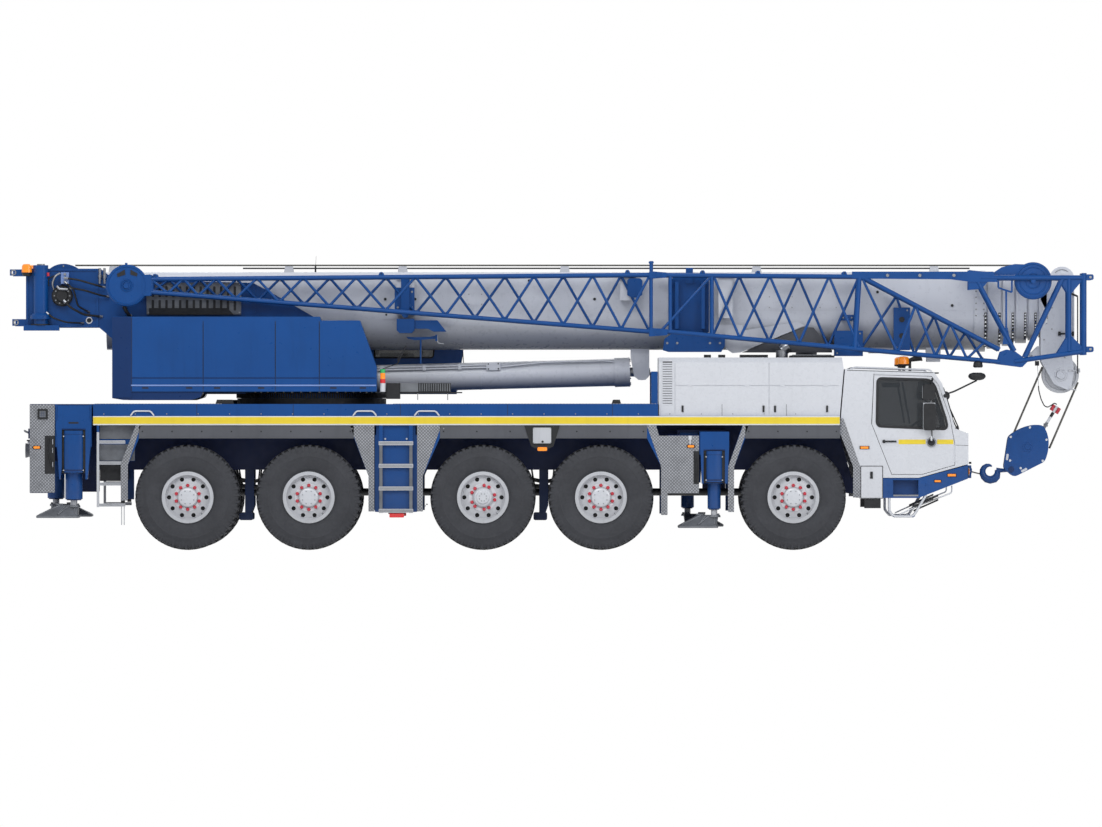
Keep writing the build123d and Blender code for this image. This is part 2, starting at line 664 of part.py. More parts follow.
# ---------------------------------------------------------------- crane cab
CRANE_CAB_Y = (600, 1372)
CRANE_CAB_WALL = 40
CRANE_CAB_FLOOR = 2232 + SEAT
CRANE_CAB_OUTLINE = [
    (-2877, CRANE_CAB_FLOOR), (-2877, 3560), (-2790, 3650), (-1750, 3650), (-1400, 3480),
    (-1225, 2900), (-1320, CRANE_CAB_FLOOR),
]
CRANE_CAB_INSIDE = [
    (-2837, 2290), (-2837, 3544), (-2772, 3610), (-1762, 3610), (-1434, 3448), (-1268, 2896),
    (-1354, 2290),
]
CRANE_DOOR = [(-2560, 2330), (-2560, 3520), (-1830, 3520), (-1640, 3420), (-1560, 2900), (-1620, 2330)]
CRANE_DOOR_WINDOW = [(-2490, 2700), (-2490, 3450), (-1850, 3450), (-1700, 3370), (-1640, 2900),
                     (-1660, 2700)]
with BuildPart() as crane_cab:
    slab(CRANE_CAB_OUTLINE, CRANE_CAB_Y)
    inside_y = (CRANE_CAB_Y[0] + CRANE_CAB_WALL, CRANE_CAB_Y[1] - CRANE_CAB_WALL)
    slab(CRANE_CAB_INSIDE, inside_y, Mode.SUBTRACT)
    # windscreen, roof light, rear and inner windows
    glass_y = (inside_y[0] + 20, inside_y[1] - 20)
    slab([(-1500, 3390), (-1000, 3390), (-1000, 2500), (-1500, 2500)], glass_y, Mode.SUBTRACT)
    slab([(-2500, 3500), (-2500, 3700), (-1800, 3700), (-1800, 3500)], glass_y, Mode.SUBTRACT)
    slab([(-2900, 3450), (-2800, 3450), (-2800, 2800), (-2900, 2800)], glass_y, Mode.SUBTRACT)
    slab(CRANE_DOOR_WINDOW, (CRANE_CAB_Y[0] - 1, inside_y[0] + 1), Mode.SUBTRACT)
    with BuildSketch(Plane.XZ.offset(-CRANE_CAB_Y[1] - 1)) as crane_doorway:
        with BuildLine():
            Polyline(*CRANE_DOOR, close=True)
        make_face()
        offset(amount=DOOR_GAP, kind=Kind.INTERSECTION)
    extrude(crane_doorway.sketch, amount=CRANE_CAB_WALL + 2, mode=Mode.SUBTRACT)
save(crane_cab, "crane_cab")

with BuildPart() as crane_cab_door:
    slab(CRANE_DOOR, (inside_y[1], CRANE_CAB_Y[1]))
    slab(CRANE_DOOR_WINDOW, (inside_y[1] - 1, CRANE_CAB_Y[1] + 1), Mode.SUBTRACT)
    upright(-2560, CRANE_CAB_Y[1] + 1, (2500, 2700), DOOR_GAP - 0.5)
save(crane_cab_door, "crane_cab_door")

# ---------------------------------------------------------------- hoist drum
with BuildPart() as hoist_drum:
    cross_bar(DRUM[0], DRUM[1], (-PLATE_IN + SEAT, PLATE_IN - SEAT), 60)
    cross_bar(DRUM[0], DRUM[1], (-330, 330), 235)
    for flange_y in ((-365, -330), (330, 365)):
        cross_bar(DRUM[0], DRUM[1], flange_y, 308)
save(hoist_drum, "hoist_drum")

# ---------------------------------------------------------------- lift cylinder
lift_run = Vector(LIFT_EYE[0] - LIFT_BASE[0], 0, LIFT_EYE[1] - LIFT_BASE[1])
lift_length = lift_run.length
lift_way = lift_run.normalized()
gland_end = lift_length - 170


def on_lift(distance):
    """A point on the lift cylinder's line, measured from its foot pin."""
    return (LIFT_BASE[0] + distance * lift_way.X, 0, LIFT_BASE[1] + distance * lift_way.Z)


with BuildPart() as lift_barrel:
    cross_bar(LIFT_BASE[0], LIFT_BASE[1], (-LUG_IN + 1, LUG_IN - 1), 118)
    round_bar(on_lift(60), on_lift(300), 92)
    round_bar(on_lift(260), on_lift(gland_end - 200), LIFT_BARREL_R)
    round_bar(on_lift(gland_end - 200), on_lift(gland_end), LIFT_GLAND_R)
    round_bar(on_lift(300), on_lift(gland_end + 1), LIFT_ROD_R + SEAT, Mode.SUBTRACT)
    cross_bar(LIFT_BASE[0], LIFT_BASE[1], (-LUG_IN, LUG_IN), LIFT_PIN_R + SEAT, Mode.SUBTRACT)
save(lift_barrel, "lift_barrel")

with BuildPart() as lift_rod:
    round_bar(on_lift(330), on_lift(gland_end - 10), LIFT_ROD_R)
    round_bar(on_lift(gland_end - 20), on_lift(lift_length - 60), LIFT_EYE_HALF - 4)
    cross_bar(LIFT_EYE[0], LIFT_EYE[1], (-LIFT_EYE_HALF, LIFT_EYE_HALF), LIFT_EYE_R)
save(lift_rod, "lift_rod")


# ---------------------------------------------------------------- boom
def boom_face(x, inset):
    """The boom's cross section at x: flat top and sides, round belly, drawn in by the inset."""
    half = BOOM_HALF - inset
    top = BOOM_TOP - inset
    corner = 90 - 0.3 * inset
    cut = corner * (1 - cos(pi / 4))
    with BuildSketch(Plane.YZ.offset(x)) as face:
        with BuildLine():
            Line((-half + corner, top), (half - corner, top))
            ThreePointArc((half - corner, top), (half - cut, top - cut), (half, top - corner))
            Line((half, top - corner), (half, BOOM_BEND))
            ThreePointArc((half, BOOM_BEND), (0, BOOM_BEND - half), (-half, BOOM_BEND))
            Line((-half, BOOM_BEND), (-half, top - corner))
            ThreePointArc((-half, top - corner), (-half + cut, top - cut), (-half + corner, top))
        make_face()
    return face.sketch


def boom_run(x, inset, mode=Mode.ADD):
    """A straight run of the boom's section between two x values."""
    extrude(boom_face(x[0], inset), amount=x[1] - x[0], mode=mode)


EYE_PLATE_IN = LIFT_EYE_HALF + SEAT + 1
bracket_y = (JIB_FAR + CHORD_R * cos(pi / 6) + SEAT, -BOOM_HALF + 4)
BELLY = BOOM_BEND - BOOM_HALF
with BuildPart() as boom_base:
    boom_run((BOOM_REAR, BASE_FRONT), 0)
    boom_run((BASE_FRONT - 160, BASE_FRONT), -26)
    cross_bar(PIVOT[0], PIVOT[1], (-PLATE_IN + SEAT, PLATE_IN - SEAT), 170)
    boom_run((BOOM_REAR + 20, BASE_FRONT - GUIDE_LENGTH), BOOM_WALL, Mode.SUBTRACT)
    boom_run((BASE_FRONT - GUIDE_LENGTH - 1, BASE_FRONT + 1), BOOM_STEP - SEAT, Mode.SUBTRACT)
    # pivot tube, kept clear of the sections inside
    cross_bar(PIVOT[0], PIVOT[1], (-PLATE_IN + SEAT, PLATE_IN - SEAT), 170)
    cross_bar(PIVOT[0], PIVOT[1], (-PLATE_IN, PLATE_IN), PIVOT_PIN_R + SEAT, Mode.SUBTRACT)
    # plates for the lift cylinder's eye
    both_slabs(
        [(1130, BELLY + 24), (1393, BELLY + 24), (1393, 2440), (1340, 2385), (1240, 2385), (1175, 2440),
         (1150, 2600), (1130, 2700)],
        (EYE_PLATE_IN, EYE_PLATE_IN + 40),
    )
    # brackets that hold the stowed jib
    block((-2163, -1911), bracket_y, (3290, 3790))
    block((980, 1200), bracket_y, (3500, 3870))
    block((2360, 2560), bracket_y, (3250, 3860))
    slab([(2050, 2870), (2000, 2960), (2080, 3160), (2700, 3160), (2760, 2960), (2700, 2870)],
         (-BOOM_HALF - 30, -BOOM_HALF + BOOM_WALL))
    # guide brackets under the belly
    guide_top = BELLY + 37
    both_slabs([(4450, guide_top), (4830, guide_top), (4790, 2760), (4490, 2760)], (130, 160))
    both_slabs([(5290, guide_top), (5500, guide_top), (5490, 2640), (5300, 2640)], (130, 160))
save(boom_base, "boom_base")

for number, front, collar in SECTIONS:
    inset = number * BOOM_STEP
    rear = SECTION_REAR + (number - 1) * SECTION_REAR_STEP
    with BuildPart() as section:
        boom_run((rear, front), inset)
        boom_run((front - collar, front), inset - 26)
        if number < len(SECTIONS):
            boom_run((rear - 1, front - GUIDE_LENGTH), inset + BOOM_WALL, Mode.SUBTRACT)
            boom_run((front - GUIDE_LENGTH - 1, front + 1), inset + BOOM_STEP - SEAT, Mode.SUBTRACT)
        else:
            boom_run((rear - 1, front - 20), inset + BOOM_WALL, Mode.SUBTRACT)
            # boom head: side plates, nose, sheave axles and sheaves
            both_slabs(
                [(6900, 3640), (6960, 3880), (7300, 3906), (7381, 3800), (7381, 2750), (7441, 2600),
                 (7441, 2260), (7330, 2191), (7080, 2191), (6960, 2300), (6937, 2632), (6900, 2900)],
                (228, 262),
            )
            block((6990, 7040), (-240, 240), (2790, 3700))
            block((7040, 7340), (-240, 240), (2860, 2900))
            sheave_sets = [(SHEAVE, SHEAVE_R, 4), (TOP_SHEAVE, TOP_SHEAVE_R, 2)]
            for (axle_x, axle_z), sheave_r, count in sheave_sets:
                cross_bar(axle_x, axle_z, (-290, 290), 55)
                for index in range(count):
                    middle = (index - (count - 1) / 2) * SHEAVE_PITCH
                    cross_bar(axle_x, axle_z, (middle - SHEAVE_T / 2, middle + SHEAVE_T / 2), sheave_r)
    save(section, f"boom_section_{number}")


# ---------------------------------------------------------------- stowed lattice jib
def along(start, end, x):
    """The height at x of the line between two (x, z) points."""
    return start[1] + (end[1] - start[1]) * (x - start[0]) / (end[0] - start[0])


# truss chords in side view, as (x, z) ends
REAR_TOP = ((-5593, 3794), (1393, 3853))
REAR_LOW = ((-5593, 3612), (1393, 3059))
FRONT_TOP = ((1533, 3850), (4354, 3828))
NOSE_TOP = ((4354, 3828), (6289, 2806))
FRONT_LOW = ((1533, 3069), (6289, 2634))
# stations of the lacing, along x; the two planes zigzag against each other, as an X in side view
REAR_STATIONS = (
    -5593, -5360, -5140, -4930, -4680, -4410, -4110, -3800, -3460, -3100, -2720, -2310, -1890, -1470,
    -1060, -640, -230, 180, 590, 990, 1393,
)
MIDDLE_STATIONS = (2281, 2650, 3070, 3480, 3900, 4330)
NOSE_STATIONS = (4354, 4860, 5110, 5390, 5600, 5830, 6080)
# upper chord, lower chord, stations
LACING = [
    (REAR_TOP, REAR_LOW, REAR_STATIONS),
    (FRONT_TOP, FRONT_LOW, MIDDLE_STATIONS),
    (NOSE_TOP, FRONT_LOW, NOSE_STATIONS),
]
truss = []
for start, end in (REAR_TOP, REAR_LOW, FRONT_TOP, NOSE_TOP, FRONT_LOW):
    for plane_y in (JIB_NEAR, JIB_FAR):
        truss.append(tube((start[0], plane_y, start[1]), (end[0], plane_y, end[1]), CHORD_R))
for upper, lower, stations in LACING:
    for phase, plane_y in ((0, JIB_NEAR), (1, JIB_FAR)):
        for k in range(len(stations) - 1):
            a, b = stations[k], stations[k + 1]
            high, low = (a, b) if k % 2 == phase else (b, a)
            truss.append(tube((high, plane_y, along(*upper, high)),
                              (low, plane_y, along(*lower, low)), LACE_R))
    for x in stations[::3]:
        for z in (along(*upper, x), along(*lower, x)):
            truss.append(tube((x, JIB_NEAR, z), (x, JIB_FAR, z), LACE_R + 4))
# one diagonal in the folding bay
truss.append(tube((1560, JIB_NEAR, 3080), (2261, JIB_NEAR, along(*FRONT_TOP, 2261)), LACE_R))
for x, top_z, low_z in (
    (-5593, 3794, 3612), (1393, 3853, 3059), (1673, 3849, 3056), (2261, 3844, 3002), (4354, 3828, 2811),
):
    for plane_y in (JIB_NEAR, JIB_FAR):
        truss.append(tube((x, plane_y, top_z), (x, plane_y, low_z), LACE_R + 10))
# root frame that pins to the boom head
root_lines = [
    ((6021, 3812), (7460, 3812), 40), ((6060, 3760), (6496, 2770), 34),
    ((7189, 3790), (6600, 2700), 34), ((7259, 3800), (7259, 2780), 30),
    ((6500, 2640), (7460, 2780), 36),
]
for plane_y in (JIB_NEAR, JIB_FAR):
    for (x0, z0), (x1, z1), radius in root_lines:
        truss.append(tube((x0, plane_y, z0), (x1, plane_y, z1), radius))
    truss.append(tube((7470, plane_y, 2730), (7470, plane_y, 3878), 40))
for x, z in ((7470, 2800), (7470, 3812), (6040, 3812)):
    truss.append(tube((x, JIB_NEAR, z), (x, JIB_FAR, z), 30))

with BuildPart() as lattice_jib:
    add(truss)
    for plane_y in (JIB_NEAR, JIB_FAR):
        web = (plane_y - 15, plane_y + 15)
        # fold knuckles, node plate, top arm
        block((1380, 1545), web, (3805, 3900))
        block((1380, 1545), web, (3015, 3110))
        slab([(6240, 2600), (6240, 2830), (6330, 2860), (6640, 2700), (6685, 2600)], web)
        # pin lugs for the boom head
        block((7460, 7609), web, (2770, 2850))
        block((7460, 7609), web, (3780, 3860))
    slab([(4354, 3800), (4354, 3898), (6200, 3898), (6265, 3752), (5900, 3752), (5600, 3800)],
         (JIB_NEAR - 30, JIB_NEAR + 30))
    # rope guide wheel on the root frame, and the head wheel at the tip
    cross_bar(6759, 3769, (JIB_NEAR - 40, JIB_NEAR + 30), 262)
    for web in ((JIB_NEAR - 15, JIB_NEAR + 15), (JIB_FAR - 15, JIB_FAR + 15)):
        slab([(-5560, 3600), (-5560, 3830), (-5900, 3800), (-6010, 3720), (-6010, 3660), (-5900, 3600)],
             web)
    cross_bar(-5943, 3696, (JIB_NEAR - 15, JIB_FAR + 15), 34)
    cross_bar(-5943, 3696, (-985, -915), 280)
save(lattice_jib, "lattice_jib")

# ---------------------------------------------------------------- hook block
HOOK_OUTLINE = [
    (6567, 1653), (6779, 1723), (6965, 1729), (7035, 1607), (7048, 1350), (6989, 1186), (6556, 980),
    (6391, 1106), (6461, 1560),
]
ROPE_R = 11
ROPE_LEAN = radians(22.7)
rope_way = (-sin(ROPE_LEAN), -cos(ROPE_LEAN))
with BuildPart() as hook_block:
    slab(HOOK_OUTLINE, (-165, 165))
    cross_bar(6757, 1420, (-185, 185), 60)
    # shank and hook
    round_bar((6560, 0, 1090), (6300, 0, 1050), 62)
    cross_bar(6195, 1036, (-48, 48), 146)
    cross_bar(6195, 1036, (-49, 49), 70, Mode.SUBTRACT)
    # falls of rope up to the sheaves
    reach = SHEAVE_R + ROPE_R + SEAT
    for index in range(4):
        fall_y = (index - 1.5) * SHEAVE_PITCH
        for lean_side, low_z in ((1, 1600), (-1, 1350)):
            top = (SHEAVE[0] + lean_side * reach * rope_way[1], SHEAVE[1] - lean_side * reach * rope_way[0])
            drop = (top[1] - low_z) / -rope_way[1]
            round_bar(
                (top[0], fall_y, top[1]),
                (top[0] + drop * rope_way[0], fall_y, low_z),
                ROPE_R,
            )
save(hook_block, "hook_block")
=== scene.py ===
"""The looks of a five-axle mobile crane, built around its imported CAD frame. Metres, +X forward, +Z up."""
import random
from math import cos, pi, radians, sin

import bmesh
import bpy
import numpy as np
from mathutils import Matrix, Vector


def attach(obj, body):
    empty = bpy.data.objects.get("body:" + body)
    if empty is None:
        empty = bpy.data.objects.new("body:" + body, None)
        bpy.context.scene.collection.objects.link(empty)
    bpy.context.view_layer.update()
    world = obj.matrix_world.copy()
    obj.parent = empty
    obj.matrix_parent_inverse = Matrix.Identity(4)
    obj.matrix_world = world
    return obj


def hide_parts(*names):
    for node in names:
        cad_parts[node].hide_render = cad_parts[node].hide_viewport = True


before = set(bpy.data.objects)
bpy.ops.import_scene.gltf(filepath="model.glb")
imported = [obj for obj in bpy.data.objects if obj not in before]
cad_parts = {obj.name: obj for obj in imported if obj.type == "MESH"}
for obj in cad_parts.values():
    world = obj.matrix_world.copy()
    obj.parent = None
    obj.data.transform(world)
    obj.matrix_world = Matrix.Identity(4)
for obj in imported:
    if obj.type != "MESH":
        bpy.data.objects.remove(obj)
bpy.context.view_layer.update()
random.seed(7)

SIDES = [("right", -1), ("left", 1)]
# radius at the ends of a turned profile, just off its axis
CORE = 0.0001
# how far a thin fitting starts outwards of the skin that carries it
PROUD = 0.0004


# ---------------- materials
def linear(r, g, b):
    """A colour written 0 to 255 as on a screen, as the shader's linear colour."""
    return tuple((c / 255 / 12.92) if c <= 10 else ((c / 255 + 0.055) / 1.055) ** 2.4
                 for c in (r, g, b)) + (1,)


def scaled(colour, k):
    return tuple(min(1.0, c * k) for c in colour[:3]) + (1,)


class Shader:
    """A material with its nodes, made step by step."""

    def __init__(self, name):
        self.material = bpy.data.materials.new(name)
        self.material.use_nodes = True
        self.tree = self.material.node_tree
        self.surface = self.tree.nodes["Principled BSDF"]
        self.where = self.tree.nodes.new("ShaderNodeTexCoord").outputs["Object"]

    def set(self, **values):
        for key, value in values.items():
            self.surface.inputs[key.replace("_", " ")].default_value = value

    def node(self, kind, **settings):
        made = self.tree.nodes.new("ShaderNode" + kind)
        for key, value in settings.items():
            setattr(made, key, value)
        return made

    def link(self, a, b):
        self.tree.links.new(a, b)

    def stretched(self, scale):
        """Object coordinates, scaled along each axis."""
        mapping = self.node("Mapping")
        mapping.inputs["Scale"].default_value = scale
        self.link(self.where, mapping.inputs["Vector"])
        return mapping.outputs["Vector"]

    def noise(self, scale, detail=4.0, rough=0.55, vector=None):
        made = self.node("TexNoise")
        made.inputs["Scale"].default_value = scale
        made.inputs["Detail"].default_value = detail
        made.inputs["Roughness"].default_value = rough
        self.link(vector or self.where, made.inputs["Vector"])
        return made.outputs["Fac"]

    def ranged(self, value, low, high, to_low, to_high):
        made = self.node("MapRange")
        for socket, number in zip(("From Min", "From Max", "To Min", "To Max"),
                                  (low, high, to_low, to_high)):
            made.inputs[socket].default_value = number
        self.link(value, made.inputs["Value"])
        return made.outputs["Result"]

    def math(self, kind, a, b=None):
        made = self.node("Math", operation=kind)
        for index, value in enumerate((a, b)):
            if value is None:
                continue
            if isinstance(value, (int, float)):
                made.inputs[index].default_value = value
            else:
                self.link(value, made.inputs[index])
        return made.outputs[0]

    def mix(self, factor, a, b):
        made = self.node("Mix", data_type="RGBA")
        self.link(factor, made.inputs["Factor"])
        for socket, value in (("A", a), ("B", b)):
            target = [s for s in made.inputs if s.name == socket and s.type == "RGBA"][0]
            if isinstance(value, tuple):
                target.default_value = value
            else:
                self.link(value, target)
        return [s for s in made.outputs if s.type == "RGBA"][0]

    def height(self):
        split = self.node("SeparateXYZ")
        self.link(self.where, split.inputs["Vector"])
        return split.outputs

    def bump(self, value, strength, distance=0.002):
        made = self.node("Bump")
        made.inputs["Strength"].default_value = strength
        made.inputs["Distance"].default_value = distance
        self.link(value, made.inputs["Height"])
        self.link(made.outputs["Normal"], self.surface.inputs["Normal"])


def painted(name, colour, rough=0.34, vary=0.08, grime=0.25, coat=0.35, peel=0.12, metallic=0.0, shine=0.5,
            under=0.0):
    """Sprayed paint: mottling, rain streaks, low dust, orange peel; under paints shade onto what faces down.
    """
    s = Shader(name)
    s.set(Metallic=metallic, Coat_Weight=coat, Coat_Roughness=0.12, Specular_IOR_Level=shine)
    broad = s.ranged(s.noise(1.3, 5), 0.3, 0.7, 0.0, 1.0)
    tint = s.mix(broad, scaled(colour, 1 - vary), scaled(colour, 1 + vary))
    streaks = s.ranged(s.noise(1.0, 6, 0.6, s.stretched((9, 9, 0.9))), 0.52, 0.78, 0.0, grime)
    tint = s.mix(streaks, tint, scaled(colour, 0.55))
    low = s.ranged(s.height()["Z"], 1.6, 0.3, 0.0, grime)
    dusty = s.math("MULTIPLY", low, s.noise(7, 6))
    tint = s.mix(dusty, tint, linear(120, 114, 104))
    # painted shade: faces that look down are mixed towards a far darker copy of the colour, by up to under
    if under:
        facing = s.node("SeparateXYZ")
        s.link(s.node("NewGeometry").outputs["Normal"], facing.inputs["Vector"])
        tint = s.mix(s.ranged(facing.outputs["Z"], 0.1, -0.9, 0.0, under), tint, scaled(colour, 0.12))
    s.link(tint, s.surface.inputs["Base Color"])
    s.link(s.ranged(s.noise(14, 6), 0.3, 0.7, rough - 0.07, rough + 0.1), s.surface.inputs["Roughness"])
    s.bump(s.noise(160, 2), peel)
    return s.material


def rough_metal(name, colour, rough=0.5, metallic=0.8, grain=90, bump=0.3, vary=0.2):
    """Bare or blacked metal and castings."""
    s = Shader(name)
    s.set(Metallic=metallic)
    tint = s.mix(s.ranged(s.noise(5, 6), 0.3, 0.7, 0.0, 1.0), scaled(colour, 1 - vary),
                 scaled(colour, 1 + vary))
    s.link(tint, s.surface.inputs["Base Color"])
    s.link(s.ranged(s.noise(22, 5), 0.3, 0.7, rough - 0.12, rough + 0.12), s.surface.inputs["Roughness"])
    s.bump(s.noise(grain, 4), bump)
    return s.material


def tread_plate(name, colour):
    """Aluminium chequer plate: raised lozenges set crosswise."""
    s = Shader(name)
    s.set(Metallic=0.55)
    axes = s.height()
    pitch = 2 * pi / 0.09
    flat = s.math("ADD", axes["X"], axes["Y"])
    slope_up = s.math("MULTIPLY", s.math("ADD", flat, axes["Z"]), pitch)
    slope_down = s.math("MULTIPLY", s.math("SUBTRACT", flat, axes["Z"]), pitch)
    weave = s.math("MULTIPLY", s.math("SINE", slope_up), s.math("SINE", slope_down))
    raised = s.ranged(s.math("ABSOLUTE", weave), 0.3, 0.62, 0.0, 1.0)
    tint = s.mix(raised, scaled(colour, 0.6), scaled(colour, 1.32))
    dirt = s.ranged(s.noise(6, 6), 0.45, 0.75, 0.0, 0.5)
    s.link(s.mix(dirt, tint, scaled(colour, 0.5)), s.surface.inputs["Base Color"])
    s.link(s.ranged(s.noise(18, 4), 0.3, 0.7, 0.35, 0.6), s.surface.inputs["Roughness"])
    s.bump(raised, 0.5, 0.003)
    return s.material


def rubber(name, colour, rough=0.75):
    """Tyre rubber, dusty in patches."""
    s = Shader(name)
    s.set(Specular_IOR_Level=0.35)
    dust = s.ranged(s.noise(4, 8, 0.65), 0.4, 0.75, 0.0, 0.45)
    tint = s.mix(dust, colour, scaled(colour, 1.7))
    s.link(tint, s.surface.inputs["Base Color"])
    s.link(s.ranged(s.noise(30, 5), 0.3, 0.7, rough - 0.1, rough + 0.1), s.surface.inputs["Roughness"])
    s.bump(s.noise(220, 5, 0.7), 0.35, 0.0015)
    return s.material


def glazing(name, colour, alpha):
    """Tinted window glass with a faint film."""
    s = Shader(name)
    s.set(Base_Color=colour, Alpha=alpha, Coat_Weight=0.6, Coat_Roughness=0.03, IOR=1.5)
    s.link(s.ranged(s.noise(3, 4), 0.3, 0.7, 0.03, 0.09), s.surface.inputs["Roughness"])
    s.bump(s.noise(1.5, 2), 0.03, 0.004)
    return s.material


def lens(name, colour, glow):
    """A lamp's ribbed plastic lens."""
    s = Shader(name)
    s.set(Emission_Strength=glow, Emission_Color=colour, Coat_Weight=0.7)
    ribs = s.math("SINE", s.math("MULTIPLY", s.height()["X"], 700))
    tint = s.mix(s.ranged(ribs, -1, 1, 0.0, 1.0), scaled(colour, 0.75), scaled(colour, 1.15))
    s.link(tint, s.surface.inputs["Base Color"])
    s.link(s.ranged(s.noise(20, 3), 0.3, 0.7, 0.15, 0.3), s.surface.inputs["Roughness"])
    s.bump(ribs, 0.2, 0.001)
    return s.material


def rope_lay(name, colour):
    """Wire rope, with its lay as slanting ridges."""
    s = Shader(name)
    s.set(Metallic=0.7)
    axes = s.height()
    slant = s.math("ADD", s.math("ADD", axes["X"], axes["Z"]), s.math("MULTIPLY", axes["Y"], 1.4))
    lay = s.math("SINE", s.math("MULTIPLY", slant, 420))
    s.link(s.mix(s.ranged(lay, -1, 1, 0, 1), scaled(colour, 0.45), scaled(colour, 1.2)),
           s.surface.inputs["Base Color"])
    s.link(s.ranged(s.noise(25, 3), 0.3, 0.7, 0.4, 0.6), s.surface.inputs["Roughness"])
    s.bump(lay, 0.5, 0.002)
    return s.material


# under=0.3 is painted shade on the blue faces that look down
BLUE = painted("crane_blue", linear(10, 72, 139), coat=0.0, shine=0.3, under=0.3)
# pale blue; on the covers' long moulding it is a painted highlight
PALE_BLUE = painted("pale_blue", linear(120, 148, 205), coat=0.2)
# darker blue, used as painted shade on parts that lie in shadow
SHADE_BLUE = painted("shade_blue", linear(4, 46, 98), coat=0.0, shine=0.3)
# the chassis frame has the same blue paint; this darker copy is painted shade under the deck
FRAME_SHADE_BLUE = painted("frame_blue_painted_shade", linear(8, 34, 84), rough=0.42, grime=0.3, coat=0.0, shine=0.3)
# under=0.75 is strong painted shade on faces that look down, the boom's belly most of all
BOOM_GREY = painted("boom_grey", linear(214, 217, 225), rough=0.3, vary=0.03, grime=0.12, coat=0.1,
                    under=0.75)
WHITE = painted("cab_white", linear(212, 214, 219), rough=0.28, vary=0.02, grime=0.08, coat=0.5)
SILVER = painted("wheel_silver", linear(196, 198, 203), rough=0.36, vary=0.04, grime=0.3)
FENDER = painted("fender_grey", linear(84, 86, 92), rough=0.55, vary=0.1, coat=0.0)
BLACK = rough_metal("black_steel", linear(30, 31, 34), rough=0.55, metallic=0.1)
STEEL = rough_metal("bare_steel", linear(150, 152, 156), rough=0.34, metallic=0.9, bump=0.12, vary=0.08)
CHROME = rough_metal("mirror_chrome", linear(205, 208, 212), rough=0.15, metallic=1.0, bump=0.02, vary=0.02)
CAST = rough_metal("grey_casting", linear(118, 121, 126), rough=0.5, metallic=0.5)
CHEQUER = tread_plate("chequer_plate", linear(150, 152, 157))
TYRE = rubber("tyre_rubber", linear(60, 61, 65))
HOSE = rubber("hose_rubber", linear(28, 28, 31), rough=0.5)
GLASS = glazing("tinted_glass", linear(38, 44, 50), 0.62)
RED = painted("red_caps", linear(196, 38, 58), rough=0.3, vary=0.08, grime=0.15)
YELLOW = painted("yellow_stripe", linear(236, 208, 40), rough=0.35, vary=0.04, grime=0.15)
BAND = painted("white_stripe", linear(228, 229, 226), rough=0.35, vary=0.03, grime=0.15)
AMBER = lens("amber_lens", linear(250, 140, 20), 0.35)
GREEN_LENS = lens("green_lens", linear(40, 170, 90), 0.25)
RED_LENS = lens("red_lens", linear(205, 30, 34), 0.25)
CLEAR_LENS = lens("clear_lens", linear(225, 228, 232), 0.2)
ROPE = rope_lay("wire_rope", linear(120, 118, 112))
SEAT = rubber("seat_cloth", linear(44, 46, 52), rough=0.85)

# material of each CAD node, by the start of its name; the first match counts
NODE_LOOKS = [
    ("wheel_", SILVER), ("tyre_", TYRE), ("knuckle_", BLACK), ("axle_beams", BLACK),
    ("chassis_frame", FRAME_SHADE_BLUE), ("deck", BLUE), ("engine_hood", WHITE), ("driver_cab", WHITE),
    ("cab_door", WHITE), ("front_bumper", BLUE), ("slew_ring", BLACK), ("superstructure", BLUE),
    ("side_covers", BLUE), ("crane_cab", BLUE), ("hoist_drum", BLUE), ("lift_barrel", BOOM_GREY),
    ("lift_rod", STEEL), ("boom_", BOOM_GREY), ("lattice_jib", BLUE), ("hook_block", BLUE),
    ("outrigger_beam", BLUE), ("jack_", CAST),
]
for node_name, node_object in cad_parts.items():
    look = next(material for start, material in NODE_LOOKS if node_name.startswith(start))
    for material_slot in node_object.material_slots:
        material_slot.material = look


